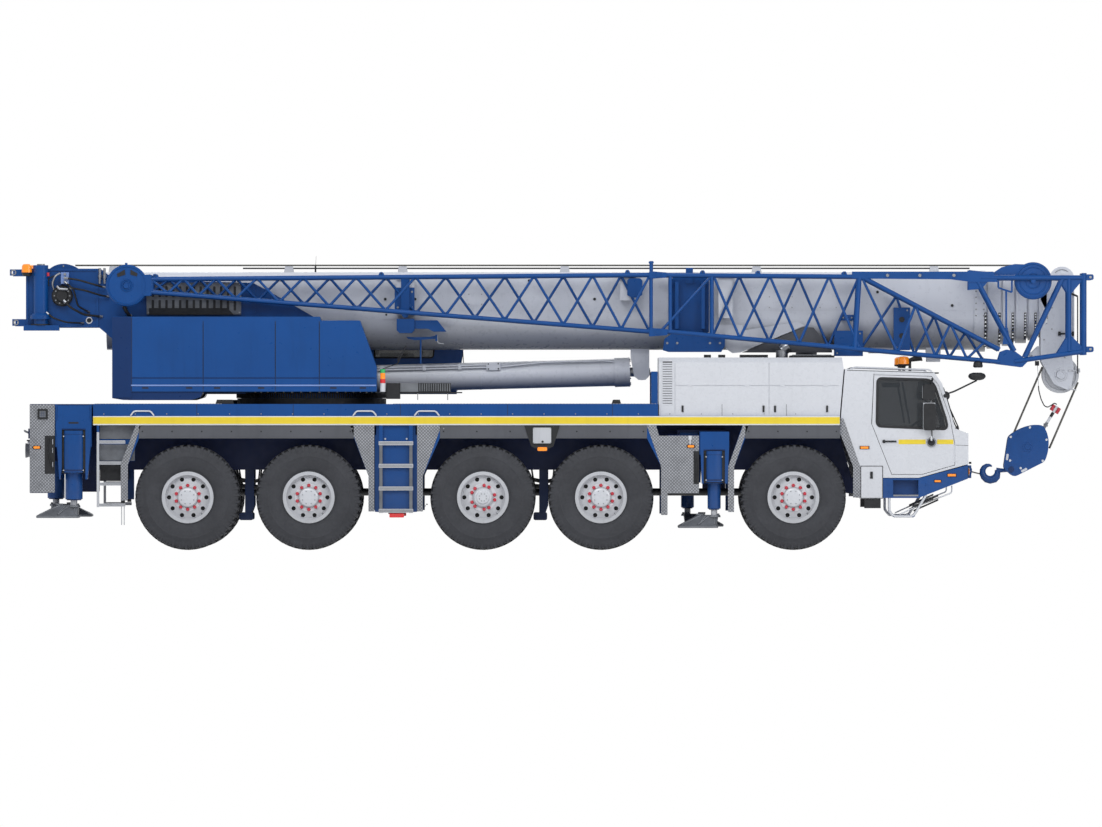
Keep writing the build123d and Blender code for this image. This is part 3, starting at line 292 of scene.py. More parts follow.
# ---------------- mesh kit
class Kit:
    def __init__(self, *materials):
        self.materials = materials
        self.verts, self.faces, self.marks = [], [], []

    def add(self, verts, faces, look=0):
        base = len(self.verts)
        self.verts.extend(tuple(v) for v in verts)
        self.faces.extend(tuple(base + i for i in face) for face in faces)
        self.marks.extend([look] * len(faces))

    def box(self, x, y, z, look=0):
        verts = [(x[i], y[j], z[k]) for i in (0, 1) for j in (0, 1) for k in (0, 1)]
        faces = [(0, 1, 3, 2), (4, 6, 7, 5), (0, 4, 5, 1), (2, 3, 7, 6), (0, 2, 6, 4), (1, 5, 7, 3)]
        self.add(verts, faces, look)

    def prism(self, outline, y, look=0):
        """An (x, z) outline, anticlockwise or not, carried from one y to another."""
        area = sum(a[0] * b[1] - b[0] * a[1] for a, b in zip(outline, outline[1:] + outline[:1]))
        ring = list(outline) if area > 0 else list(outline)[::-1]
        low, high = min(y), max(y)
        count = len(ring)
        verts = [(px, low, pz) for px, pz in ring] + [(px, high, pz) for px, pz in ring]
        faces = [tuple(range(count)), tuple(range(2 * count - 1, count - 1, -1))]
        faces += [(i, i + count, (i + 1) % count + count, (i + 1) % count) for i in range(count)]
        self.add(verts, faces, look)

    def rings(self, rings, look=0, closed=False, caps=True):
        """Joins rings of equal length into a skin."""
        count = len(rings[0])
        verts = [v for ring in rings for v in ring]
        spans = len(rings) if closed else len(rings) - 1
        faces = []
        for r in range(spans):
            a, b = r * count, ((r + 1) % len(rings)) * count
            faces += [(a + i, a + (i + 1) % count, b + (i + 1) % count, b + i) for i in range(count)]
        if caps and not closed:
            faces += [tuple(range(count))[::-1], tuple(range(len(verts) - count, len(verts)))]
        self.add(verts, faces, look)

    def bar(self, a, b, radius, look=0, sides=14, end_radius=None):
        """A round bar or cone between two points."""
        a, b = Vector(a), Vector(b)
        turn = (b - a).to_track_quat("Z", "Y")
        rings = []
        for place, r in ((a, radius), (b, radius if end_radius is None else end_radius)):
            rings.append([place + turn @ Vector((r * cos(t), r * sin(t), 0))
                          for t in np.linspace(0, 2 * pi, sides, endpoint=False)])
        self.rings(rings, look)

    def pin(self, x, z, near, far, *rest):
        """A round bar across the machine; the rest as for bar."""
        self.bar((x, near, z), (x, far, z), *rest)

    def post(self, x, y, low, high, *rest):
        """An upright round bar; the rest as for bar."""
        self.bar((x, y, low), (x, y, high), *rest)

    def rod(self, y, z, rear, front, *rest):
        """A round bar along the machine; the rest as for bar."""
        self.bar((rear, y, z), (front, y, z), *rest)

    def solid(self, profile, *rest):
        """A turned solid, its profile closed to the axis at both ends; the rest as for lathe."""
        self.lathe([(profile[0][0], CORE), *profile, (profile[-1][0], CORE)], *rest)

    def lathe(self, profile, centre, look=0, steps=48, axis="Y"):
        """Turns a closed (along, radius) profile about a line through the centre."""
        rings = []
        for t in np.linspace(0, 2 * pi, steps, endpoint=False):
            ring = []
            for along, r in profile:
                if axis == "Y":
                    ring.append((centre[0] + r * cos(t), centre[1] + along, centre[2] + r * sin(t)))
                elif axis == "Z":
                    ring.append((centre[0] + r * cos(t), centre[1] + r * sin(t), centre[2] + along))
                else:
                    ring.append((centre[0] + along, centre[1] + r * cos(t), centre[2] + r * sin(t)))
            rings.append(ring)
        self.rings(rings, look, closed=True)

    def piece(self, name, body, slot, bevel=0.0, smooth=32):
        """The finished object, riding on a body."""
        mesh = bpy.data.meshes.new(name)
        mesh.from_pydata(self.verts, [], self.faces)
        for material in self.materials:
            mesh.materials.append(material)
        mesh.polygons.foreach_set("material_index", self.marks)
        mesh.polygons.foreach_set("use_smooth", [True] * len(self.faces))
        mesh.validate()
        made = bpy.data.objects.new(name, mesh)
        bpy.context.scene.collection.objects.link(made)
        clean(mesh)
        mesh.set_sharp_from_angle(angle=radians(smooth))
        if bevel:
            modifier = made.modifiers.new("edges", "BEVEL")
            modifier.width = bevel
            modifier.segments = 2
            modifier.limit_method = "ANGLE"
            modifier.angle_limit = radians(40)
            modifier.harden_normals = True
        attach(made, body)
        return made


def clean(mesh):
    """Turns every closed shell's faces outwards."""
    work = bmesh.new()
    work.from_mesh(mesh)
    bmesh.ops.recalc_face_normals(work, faces=work.faces)
    work.to_mesh(mesh)
    work.free()


# ---------------- camera, light and stage
VIEW_WIDTH = 15.428
LENS = 400.0
SENSOR = 36.0
NEAR_SIDE_Y = -1.25
VIEW_X, VIEW_Z = 0.007, 1.911
camera_data = bpy.data.cameras.new("camera")
camera_data.lens = LENS
camera_data.sensor_width = SENSOR
camera_distance = VIEW_WIDTH * LENS / SENSOR
camera_data.clip_end = 1000
camera = bpy.data.objects.new("camera", camera_data)
camera.location = (VIEW_X, NEAR_SIDE_Y - camera_distance, VIEW_Z)
camera.rotation_euler = (radians(90), 0, 0)
bpy.context.scene.collection.objects.link(camera)
bpy.context.scene.camera = camera


def stage_material(name, seen, lit):
    """Shows one colour to the camera, to mirrors and through glass, and shades as another."""
    s = Shader(name)
    path = s.node("LightPath")
    glow = s.node("Emission")
    glow.inputs["Color"].default_value = seen
    s.surface.inputs["Base Color"].default_value = lit
    s.surface.inputs["Roughness"].default_value = 0.9
    direct = s.math("MAXIMUM", path.outputs["Is Camera Ray"],
                    s.math("MAXIMUM", path.outputs["Is Glossy Ray"], path.outputs["Is Transmission Ray"]))
    blend = s.node("MixShader")
    s.link(direct, blend.inputs["Fac"])
    s.link(s.surface.outputs["BSDF"], blend.inputs[1])
    s.link(glow.outputs["Emission"], blend.inputs[2])
    s.link(blend.outputs["Shader"], s.tree.nodes["Material Output"].inputs["Surface"])
    return s.material


FLOOR_REACH = 400.0
FLOOR_CORNERS = [(sx * FLOOR_REACH, sy * FLOOR_REACH, 0) for sx, sy in ((-1, -1), (1, -1), (1, 1), (-1, 1))]
floor_mesh = bpy.data.meshes.new("floor")
floor_mesh.from_pydata(FLOOR_CORNERS, [], [(0, 1, 2, 3)])
floor_mesh.materials.append(stage_material("floor_white", (1, 1, 1, 1), (0.8, 0.8, 0.8, 1)))
floor = bpy.data.objects.new("floor", floor_mesh)
bpy.context.scene.collection.objects.link(floor)

world = bpy.data.worlds.new("studio")
bpy.context.scene.world = world
world.use_nodes = True
nodes, links = world.node_tree.nodes, world.node_tree.links
background = nodes["Background"]
ray = nodes.new("ShaderNodeLightPath")
plain = nodes.new("ShaderNodeBackground")
plain.inputs["Color"].default_value = (1, 1, 1, 1)
plain.inputs["Strength"].default_value = 1.0
background.inputs["Color"].default_value = (0.92, 0.95, 1.0, 1)
background.inputs["Strength"].default_value = 0.62
either = nodes.new("ShaderNodeMath")
either.operation = "MAXIMUM"
links.new(ray.outputs["Is Camera Ray"], either.inputs[0])
links.new(ray.outputs["Is Transmission Ray"], either.inputs[1])
choose = nodes.new("ShaderNodeMixShader")
links.new(either.outputs[0], choose.inputs["Fac"])
links.new(background.outputs[0], choose.inputs[1])
links.new(plain.outputs[0], choose.inputs[2])
links.new(choose.outputs[0], nodes["World Output"].inputs["Surface"])

# lamp name, power in watts per square metre, where it stands, its width and height
LAMPS = [
    ("key", 1500, (-6, -16, 15), (14, 8)),
    ("fill", 650, (12, -14, 7), (10, 8)),
    ("back", 800, (0, 16, 13), (18, 8)),
]
for lamp_name, power, place, size in LAMPS:
    lamp_data = bpy.data.lights.new(lamp_name, "AREA")
    lamp_data.shape = "RECTANGLE"
    lamp_data.size, lamp_data.size_y = size
    lamp_data.energy = power
    lamp = bpy.data.objects.new(lamp_name, lamp_data)
    lamp.location = place
    lamp.rotation_euler = (Vector((0, 0, 1.6)) - Vector(place)).to_track_quat("-Z", "Y").to_euler()
    bpy.context.scene.collection.objects.link(lamp)

bpy.context.scene.view_settings.view_transform = "Standard"

# ---------------- helpers for outlines and places
def span(sign, low, high):
    """Two distances from the middle plane on one side, as y values."""
    return sorted((sign * low, sign * high))


def offsets(sign, plane):
    """A function that gives two distances outwards of a side face as y values."""
    def pair(a, b):
        return sorted((sign * (plane + a), sign * (plane + b)))
    return pair


def about(middle, half):
    """The two values a half width either side of a middle."""
    return (middle - half, middle + half)


def at_y(y, points):
    """(x, z) points as places in a plane of constant y."""
    return [(x, y, z) for x, z in points]


def facing(sign, profile):
    """A turned profile whose distances run outwards on one side."""
    return [(sign * a, r) for a, r in profile]


def around(x, z, radius, count, phase=0.0, pairing=0.0):
    """Evenly spaced (x, z) places on a circle; pairing draws them together two by two."""
    places = []
    for k in range(count):
        t = 2 * pi * (k + phase) / count + pairing * (1 if k % 2 else -1)
        places.append((x + radius * cos(t), z + radius * sin(t)))
    return places


def grown(outline, amount):
    """An outline drawn out (or in, when negative) by mitred corners."""
    area = sum(a[0] * b[1] - b[0] * a[1] for a, b in zip(outline, outline[1:] + outline[:1]))
    turn = 1 if area > 0 else -1
    result = []
    count = len(outline)
    for k in range(count):
        before, here, after = (Vector(outline[(k + d) % count]) for d in (-1, 0, 1))
        first, second = (here - before).normalized(), (after - here).normalized()
        normal_a = Vector((first.y, -first.x)) * turn
        normal_b = Vector((second.y, -second.x)) * turn
        mitre = (normal_a + normal_b).normalized()
        result.append(tuple(here + mitre * amount / max(0.35, mitre.dot(normal_a))))
    return result


def rounded(outline, radius, steps=5):
    """An outline with its corners rounded."""
    result = []
    count = len(outline)
    for k in range(count):
        before, here, after = (Vector(outline[(k + d) % count]) for d in (-1, 0, 1))
        reach = min(radius, 0.45 * (before - here).length, 0.45 * (after - here).length)
        start = here + (before - here).normalized() * reach
        end = here + (after - here).normalized() * reach
        for s in np.linspace(0, 1, steps):
            result.append(tuple(start * (1 - s) ** 2 + here * 2 * s * (1 - s) + end * s * s))
    return result


def oblong(x0, x1, z0, z1):
    """A rectangle in side view."""
    return [(x0, z0), (x1, z0), (x1, z1), (x0, z1)]


def soft_box(x0, x1, z0, z1, radius):
    """A rectangle in side view with rounded corners."""
    return rounded(oblong(x0, x1, z0, z1), radius)


def frame_ring(kit, outline, width, y, look):
    """A flat band that follows an (x, z) outline, outside it."""
    inner, outer = outline, grown(outline, width)
    rings = []
    for (ix, iz), (ox, oz) in zip(inner, outer):
        rings.append([(ix, y[0], iz), (ix, y[1], iz), (ox, y[1], oz), (ox, y[0], oz)])
    kit.rings(rings, look, closed=True)


def path_bar(kit, points, radius, look=0, sides=10):
    """A bent round bar through points, with its bends eased."""
    eased = [Vector(points[0])]
    for before, here, after in zip(points, points[1:], points[2:]):
        before, here, after = Vector(before), Vector(here), Vector(after)
        reach = min(3.2 * radius, 0.4 * (before - here).length, 0.4 * (after - here).length)
        start = here + (before - here).normalized() * reach
        end = here + (after - here).normalized() * reach
        for s in (0.0, 0.25, 0.5, 0.75, 1.0):
            eased.append(start * (1 - s) ** 2 + here * 2 * s * (1 - s) + end * s * s)
    eased.append(Vector(points[-1]))
    rings = []
    side = None
    for k, place in enumerate(eased):
        ahead = (eased[min(k + 1, len(eased) - 1)] - eased[max(k - 1, 0)]).normalized()
        if side is None:
            side = ahead.orthogonal().normalized()
        side = (side - ahead * side.dot(ahead)).normalized()
        other = ahead.cross(side)
        rings.append([place + radius * (side * cos(t) + other * sin(t))
                      for t in np.linspace(0, 2 * pi, sides, endpoint=False)])
    kit.rings(rings, look)


def bolt(kit, x, y, z, sign, radius=0.012, look=0, high=0.01):
    """A hexagon head on a side face."""
    kit.bar((x, y, z), (x, y + sign * high, z), radius, look, 6)


def disc(kit, x, y, z, radius, thick, steps, look=0):
    """A closed wheel about the Y axis; its near face has raised rings at the given radii."""
    near, far = y - thick / 2, y + thick / 2
    profile = [(far, CORE), (far, radius), (near + 0.012, radius), (near, radius - 0.01)]
    for r in steps:
        profile += [(near, r + 0.008), (near - 0.009, r + 0.004), (near - 0.009, r - 0.004),
                    (near, r - 0.01)]
    profile += [(near, 0.03), (near - 0.012, 0.026), (near - 0.012, CORE)]
    kit.lathe([(along - y, r) for along, r in profile], (x, y, z), look, 64)


# ---------------- tyres and wheels
WHEEL_X = {1: 3.399, 2: 0.706, 3: -0.946, 4: -3.384, 5: -5.078}
HUB_Z = 0.737
WHEEL_Y = 1.155
# tyre section on one side of its middle: distance from the middle, radius
TYRE_SECTION = [
    (0.16, 0.332), (0.162, 0.374), (0.172, 0.392), (0.18, 0.396), (0.184, 0.404), (0.197, 0.44),
    (0.206, 0.48), (0.212, 0.52), (0.215, 0.545), (0.214, 0.565), (0.2165, 0.57), (0.2165, 0.576),
    (0.213, 0.582), (0.209, 0.612), (0.206, 0.618), (0.204, 0.64), (0.198, 0.668), (0.193, 0.69),
    (0.18, 0.708), (0.12, 0.716), (0.06, 0.719),
]
TREAD_ROWS = 46


def tyre_mesh(kit, centre):
    """The carcass with its sidewall rings, and the tread blocks."""
    x, y, z = centre
    kit.lathe(TYRE_SECTION + [(-d, r) for d, r in TYRE_SECTION[::-1]], centre, steps=96)
    pitch = 2 * pi / TREAD_ROWS
    for k in range(TREAD_ROWS):
        for flip in (-1, 1):
            start = k * pitch + (0.5 * pitch if flip > 0 else 0)
            # shoulder lug: runs over the tread's edge and down the sidewall
            lug = [(0.205, 0.655, 0.16, 0.46), (0.196, 0.724, 0.16, 0.5), (0.165, 0.7345, 0.13, 0.56),
                   (0.085, 0.737, 0.05, 0.62)]
            block(kit, x, y, z, start, pitch, flip, lug, 0.035)
            # inner block, set at a slant
            inner = [(0.074, 0.737, 0.1, 0.66), (0.012, 0.737, 0.3, 0.86)]
            block(kit, x, y, z, start, pitch, flip, inner, 0.026)


def block(kit, x, y, z, start, pitch, flip, stations, depth):
    """One tread block: stations across the tread, each from one angle to another."""
    rings = []
    for across, radius, low, high in stations:
        ring = []
        for share, r in ((low, radius), (high, radius), (high, radius - depth), (low, radius - depth)):
            angle = start + share * pitch
            ring.append((x + r * cos(angle), y + flip * across, z + r * sin(angle)))
        rings.append(ring)
    kit.rings(rings)


# circle of the wheel nuts, circle of the hand holes
NUT_CIRCLE_R, HAND_HOLE_R = 0.1675, 0.262
# how far the faces of the nut ring, hub cap and dish stand outwards of the wheel's middle
NUT_FACE, CAP_FACE, DISH_FACE, BACKING_FACE = 0.13, 0.172, 0.112, 0.04
# the middle wheel's cap is taller, with its bolts on a smaller circle
TALL_CAP_WHEEL = 3
CAP = [(0, CORE), (0, 0.128), (0.006, 0.126), (0.014, 0.112), (0.018, 0.07), (0.0185, CORE)]
TALL_CAP = [(0, CORE), (0, 0.12), (0.012, 0.118), (0.016, 0.092), (0.04, 0.088), (0.046, 0.08),
            (0.048, CORE)]
NUT_COVER = [(0.004, CORE), (0.004, 0.0265), (0.01, 0.0265), (0.034, 0.0215), (0.04, 0.015),
             (0.041, CORE)]
NUT_RING = [(0, 0.142), (0, 0.196), (0.006, 0.194), (0.006, 0.144)]
BACKING = [(0, 0.215), (0, 0.3), (0.03, 0.3), (0.03, 0.215), (0, 0.215)]
HOLE_EDGE = [(-0.004, 0.0305), (-0.004, 0.036), (0.002, 0.036), (0.003, 0.033), (0.001, 0.0305)]
for number, wheel_x in WHEEL_X.items():
    tall = number == TALL_CAP_WHEEL
    for side, sign in SIDES:
        body = f"road_wheel_{number}_{side}"
        kit = Kit(TYRE)
        tyre_mesh(kit, (wheel_x, sign * WHEEL_Y, HUB_Z))
        tyre = kit.piece(f"tread_{number}_{side}", body, "tyre")
        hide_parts(f"tyre_{number}_{side}")

        trim = Kit(WHITE, RED, BLACK, STEEL)
        face = sign * (WHEEL_Y + NUT_FACE)
        cap_face = sign * (WHEEL_Y + CAP_FACE)
        dish_face = sign * (WHEEL_Y + DISH_FACE)
        # hub cap: a shallow dome with a ring of bolts
        trim.lathe(facing(sign, TALL_CAP if tall else CAP), (wheel_x, cap_face, HUB_Z), 0, 40)
        bolt_r = 0.052 if tall else 0.093
        bolt_y = cap_face + sign * (0.046 if tall else 0.014)
        for x, z in around(wheel_x, HUB_Z, bolt_r, 8, 0.5):
            bolt(trim, x, bolt_y, z, sign, 0.008, 3, 0.008)
        # red nut covers and the flat ring that they stand on
        trim.lathe(facing(sign, NUT_RING), (wheel_x, face, HUB_Z), 0, 40)
        for x, z in around(wheel_x, HUB_Z, NUT_CIRCLE_R, 10, 0.5, 0.1 if tall else 0.0):
            trim.lathe(facing(sign, NUT_COVER), (x, face, z), 1, 12)
        # dark backing seen through the hand holes, and their rolled edges
        trim.lathe(facing(sign, BACKING), (wheel_x, sign * (WHEEL_Y + BACKING_FACE), HUB_Z), 2, 40)
        for x, z in around(wheel_x, HUB_Z, HAND_HOLE_R, 10):
            trim.lathe(facing(sign, HOLE_EDGE), (x, dish_face, z), 0, 16)
        # valve stem
        trim.bar((wheel_x + 0.19, dish_face, HUB_Z - 0.22),
                 (wheel_x + 0.205, dish_face + sign * 0.03, HUB_Z - 0.236), 0.005, 3, 8)
        trim.piece(f"wheel_trim_{number}_{side}", body, "wheel_grey")

# ---------------- carrier: stripes, fenders, chequer plate
SKIN_Y = 1.34
FENDER_RUNS = [(-5.761, -2.751), (-1.547, 1.351), (2.723, 4.05)]
for side, sign in SIDES:
    out = offsets(sign, SKIN_Y)
    stripe = Kit(YELLOW, BAND)
    stripe.box((-6.4, 4.049), out(PROUD, 0.003), (1.748, 1.874), 1)
    stripe.box((-6.398, 4.047), out(0.003, 0.0046), (1.766, 1.86))
    stripe.piece(f"stripe_{side}", "carrier", "yellow")

    edge = Kit(FENDER, BLACK)
    for start, end in FENDER_RUNS:
        edge.box((start, end), out(PROUD, 0.006), (1.576, 1.746))
        edge.box((start, end), out(-0.006, 0.014), (1.562, 1.578))
        edge.box((start, end), out(0.004, 0.012), (1.736, 1.748))
        steps = int((end - start) / 0.42)
        for k in range(steps + 1):
            x = start + 0.05 + (end - start - 0.1) * k / steps
            edge.pin(x, 1.66, sign * (SKIN_Y + 0.004), sign * (SKIN_Y + 0.013), 0.011, 1, 6)
    edge.piece(f"fender_edge_{side}", "carrier", "dark_metal", bevel=0.002)

    plate = Kit(CHEQUER, BLACK, STEEL)
    # strips beside the middle ladder, and the deck ends above them
    rear_strip = [(-2.807, 1.746), (-2.466, 1.746), (-2.466, 0.54), (-2.547, 0.54), (-2.547, 1.036)]
    front_strip = [(-4.333 - px, pz) for px, pz in rear_strip]
    strips = [
        rear_strip, front_strip,
        [(1.347, 1.746), (1.477, 1.746), (1.638, 1.162), (1.638, 0.49), (1.547, 0.49), (1.547, 1.176)],
        [(2.695, 1.746), (2.772, 1.746), (2.569, 1.162), (2.569, 0.532), (2.485, 0.532), (2.485, 1.162)],
        [(-5.803, 1.746), (-5.733, 1.746), (-5.915, 1.19), (-5.915, 0.692), (-6.013, 0.692), (-6.013, 1.204)],
    ]
    for outline in strips:
        plate.prism(outline, out(PROUD, 0.006))
        for px, pz in ((outline[0][0] + 0.03, 1.7), (outline[-2][0] + 0.03, outline[-2][1] + 0.08)):
            plate.pin(px, pz, sign * (SKIN_Y + 0.005), sign * (SKIN_Y + 0.012), 0.012, 2, 6)
    plate.piece(f"chequer_strips_{side}", "carrier", "chequer_plate")

# ---------------- driver's cab and engine hood
CAB_Y = 1.29
WINDOW = [(4.59, 2.392), (5.3, 2.372), (5.37, 2.29), (5.52, 1.83), (5.545, 1.705), (4.58, 1.745)]
for side, sign in SIDES:
    skin = offsets(sign, CAB_Y)
    body = f"driver_door_{side}"
    door = Kit(BLACK, YELLOW, STEEL, WHITE)
    frame_ring(door, rounded(grown(WINDOW, -0.004), 0.05), 0.034, skin(-0.012, 0.007), 0)
    door.box((4.632, 4.865), skin(PROUD, 0.003), (1.466, 1.571), 3)
    door.box((4.65, 4.842), skin(0.003, 0.02), (1.508, 1.532))
    door.pin(4.668, 1.52, sign * CAB_Y, sign * (CAB_Y + 0.024), 0.024, 0, 18)
    door.box((4.872, 5.252), skin(PROUD, 0.002), (1.482, 1.546), 1)
    door.box((5.41, 5.64), skin(PROUD, 0.002), (1.482, 1.546), 1)
    # mirrors on the door's arm, with the arm's foot
    door.pin(5.331, 1.509, sign * CAB_Y, sign * (CAB_Y + 0.014), 0.07, 2, 32)
    door.pin(5.331, 1.509, sign * (CAB_Y + 0.01), sign * (CAB_Y + 0.03), 0.05, 0, 24)
    path_bar(door, [(5.331, sign * (CAB_Y + 0.02), 1.509), (5.331, sign * 1.4, 1.56),
                    (5.331, sign * 1.4, 2.33), (5.345, sign * 1.3, 2.4)], 0.013, 0)
    mirror_y = span(sign, 1.372, 1.43)
    door.prism(soft_box(5.217, 5.388, 1.675, 2.053, 0.035), mirror_y)
    door.prism(rounded([(5.202, 2.101), (5.379, 2.101), (5.379, 2.318), (5.215, 2.318)], 0.04), mirror_y)
    door.piece(f"door_fittings_{side}", body, "dark_metal", bevel=0.003)

    mirror = Kit(CHROME)
    mirror.box((5.21, 5.214), span(sign, 1.38, 1.422), (1.7, 2.03))
    mirror.box((5.198, 5.202), span(sign, 1.38, 1.422), (2.125, 2.295))
    mirror.piece(f"mirror_glass_{side}", body, "bare_steel")

    pane = Kit(GLASS)
    pane.prism(grown(WINDOW, 0.002), skin(-0.028, -0.022))
    pane.piece(f"door_glass_{side}", body, "window_glass")

    inner = Kit(SEAT, STEEL)
    inner.prism([(4.913, 2.35), (4.94, 2.35), (5.04, 1.771), (5.013, 1.771)], skin(-0.05, -0.035))
    inner.prism([(4.56, 1.7), (5.54, 1.69), (5.56, 1.3), (4.8, 1.15), (4.7, 1.3)], skin(-0.06, -0.0455))
    inner.box((4.8, 5.3), skin(-0.12, -0.06), (1.48, 1.53))
    inner.piece(f"door_lining_{side}", body, "black_rubber", bevel=0.004)

    # body side: seams, lamps, locker, wheel-arch strip, step
    trim = Kit(BLACK, AMBER, CHEQUER, WHITE, STEEL, BLUE)
    trim.box((4.326, 4.463), skin(PROUD, 0.008), (1.411, 1.457))
    trim.box((4.34, 4.449), skin(0.008, 0.016), (1.418, 1.45), 1)
    trim.prism([(4.525, 2.47), (4.531, 2.47), (4.5, 1.765), (4.494, 1.765)], skin(PROUD, 0.0014))
    trim.prism([(4.15, 2.512), (5.355, 2.478), (5.362, 2.486), (4.15, 2.52)], skin(PROUD, 0.0014))
    trim.prism([(5.672, 1.466), (5.849, 1.46), (5.849, 1.465), (5.672, 1.471)], skin(PROUD, 0.0014))
    frame_ring(trim, oblong(4.348, 4.645, 0.73, 1.17), 0.009, skin(PROUD, 0.004), 0)
    trim.box((4.474, 4.511), skin(PROUD, 0.012), (1.0, 1.097))
    trim.box((4.398, 4.623), span(sign, 1.0, 1.27), (0.585, 0.716))
    arch = [(4.06, 1.85), (4.1, 1.84), (4.33, 1.18), (4.338, 1.15), (4.338, 0.735), (4.236, 0.735),
            (4.236, 1.17), (4.05, 1.64)]
    trim.prism(arch, skin(-0.06, 0.007), 2)
    for lamp_x, lamp_z, half_w, half_h in ((5.419, 0.964, 0.052, 0.02), (5.616, 1.048, 0.066, 0.023)):
        trim.box(about(lamp_x, half_w), skin(PROUD, 0.008), about(lamp_z, half_h))
        trim.box((lamp_x - half_w + 0.01, lamp_x + half_w - 0.01), skin(0.008, 0.016),
                 (lamp_z - half_h + 0.007, lamp_z + half_h - 0.007), 1)
    trim.box((4.8, 5.15), span(sign, 1.14, CAB_Y + 0.004), (0.752, 0.774), 4)
    for bolt_x, bolt_z in ((4.731, 0.914), (5.26, 0.914), (4.731, 0.8)):
        trim.pin(bolt_x, bolt_z, sign * CAB_Y, sign * (CAB_Y + 0.008), 0.014, 5, 6)
    trim.piece(f"cab_trim_{side}", "carrier", "dark_metal", bevel=0.002)

    tube_kit = Kit(WHITE, BLACK)
    for tube_y in (1.27, 1.06):
        path_bar(tube_kit, at_y(sign * tube_y, [(4.744, 0.735), (4.744, 0.545), (4.808, 0.47),
                                                (5.082, 0.47), (5.262, 0.775)]), 0.017, 0, 12)
    tube_kit.pin(4.9, 0.47, sign * 1.06, sign * 1.27, 0.014, 0)
    tube_kit.pin(5.02, 0.47, sign * 1.06, sign * 1.27, 0.014, 0)
    # swing-down steps folded below the bumper
    for z_low in (0.6, 0.54):
        tube_kit.prism([(5.09, z_low), (5.43, z_low + 0.15), (5.43, z_low + 0.17), (5.09, z_low + 0.02)],
                       span(sign, 0.95, 1.25), 1)
    path_bar(tube_kit, at_y(sign * 1.2, [(4.89, 0.5), (5.2, 0.64), (5.62, 0.8), (5.62, 0.9)]), 0.01, 0, 8)
    tube_kit.piece(f"boarding_step_{side}", "carrier", "cab_white")

# windscreen, wipers, front face
screen = Kit(GLASS, BLACK, WHITE)
screen.prism([(5.372, 2.474), (5.478, 2.326), (5.664, 1.7), (5.656, 1.698), (5.47, 2.322), (5.364, 2.468)],
             (-1.16, 1.16))
screen.piece("windscreen", "carrier", "window_glass")
front = Kit(BLACK, WHITE, CLEAR_LENS, AMBER, STEEL, SEAT)
path_bar(front, [(5.7, -0.55, 1.69), (5.74, -0.5, 1.705), (5.56, 0.1, 2.15)], 0.009, 0)
path_bar(front, [(5.7, 0.35, 1.69), (5.74, 0.4, 1.705), (5.56, 1.0, 2.15)], 0.009, 0)
front.prism([(5.672, 1.715), (5.7, 1.745), (5.715, 1.745), (5.728, 1.69), (5.712, 1.68)], (-1.1, -1.06))
front.box((5.849, 5.856), (-1.05, 1.05), (1.462, 1.468))
front.box((5.849, 5.858), (-0.6, 0.6), (1.24, 1.42))
for grille_z in np.linspace(1.255, 1.4, 6):
    front.box((5.856, 5.866), (-0.59, 0.59), (grille_z, grille_z + 0.01), 4)
for head_y in (-1, 1):
    front.box((5.842, 5.858), span(head_y, 0.8, 1.22), (1.03, 1.165))
    for lamp_y in (0.9, 1.04):
        front.rod(head_y * lamp_y, 1.098, 5.85, 5.868, 0.056, 2, 28)
    front.box((5.852, 5.866), span(head_y, 1.125, 1.205), (1.06, 1.136), 3)
    # grab handle beside the windscreen
    path_bar(front, [(5.46, head_y * 1.235, 2.3), (5.5, head_y * 1.25, 2.27), (5.63, head_y * 1.25, 1.86),
                     (5.6, head_y * 1.235, 1.83)], 0.01, 0)
front.box((5.2, 5.44), (-1.17, 1.17), (2.47, 2.488))
# front mirror on its arm
path_bar(front, [(5.505, -1.262, 2.15), (5.56, -1.29, 2.19), (5.65, -1.3, 2.22), (5.97, -1.24, 2.375)],
         0.012, 0)
front.lathe([(-0.03, CORE), (-0.026, 0.055), (-0.01, 0.066), (0.004, 0.064), (0.006, CORE)],
            (5.525, -1.262, 2.158), 0, 20)
rings = []
for level, share in ((-0.052, 0.35), (-0.04, 0.72), (-0.015, 0.95), (0.01, 1.0), (0.04, 0.85),
                     (0.056, 0.45)):
    rings.append([(5.971 + 0.124 * share * cos(t), -1.24 + 0.085 * share * sin(t), 2.428 + level)
                  for t in np.linspace(0, 2 * pi, 28, endpoint=False)])
front.rings(rings, 0)
front.piece("cab_front_fittings", "carrier", "dark_metal", bevel=0.002)

# beacons, horn and rails on the cab roof
roof = Kit(AMBER, BLACK, STEEL, WHITE)
for beacon_y in (-0.95, 0.95):
    roof.lathe([(0.0, CORE), (0.0, 0.078), (0.085, 0.074), (0.104, 0.055), (0.11, CORE)],
               (4.952, beacon_y, 2.604), 0, 28, "Z")
    roof.solid([(0.0, 0.03), (0.02, 0.03), (0.028, 0.074), (0.052, 0.08)], (4.952, beacon_y, 2.553), 1, 28,
               "Z")
    roof.post(4.952, beacon_y, 2.5, 2.556, 0.022, 1)
roof.bar((5.02, -0.95, 2.655), (5.185, -0.95, 2.7), 0.022, 1, 16, 0.052)
roof.bar((5.185, -0.95, 2.7), (5.205, -0.95, 2.705), 0.056, 1, 16)
roof.box((5.02, 5.06), (-0.965, -0.935), (2.505, 2.66), 1)
for rail_y in (-1.2, 1.2):
    path_bar(roof, at_y(rail_y, [(4.2, 2.53), (4.26, 2.56), (4.84, 2.54), (5.3, 2.525), (5.34, 2.5)]),
             0.011, 3)
roof.piece("cab_roof_fittings", "carrier", "lamp_amber", bevel=0.002)

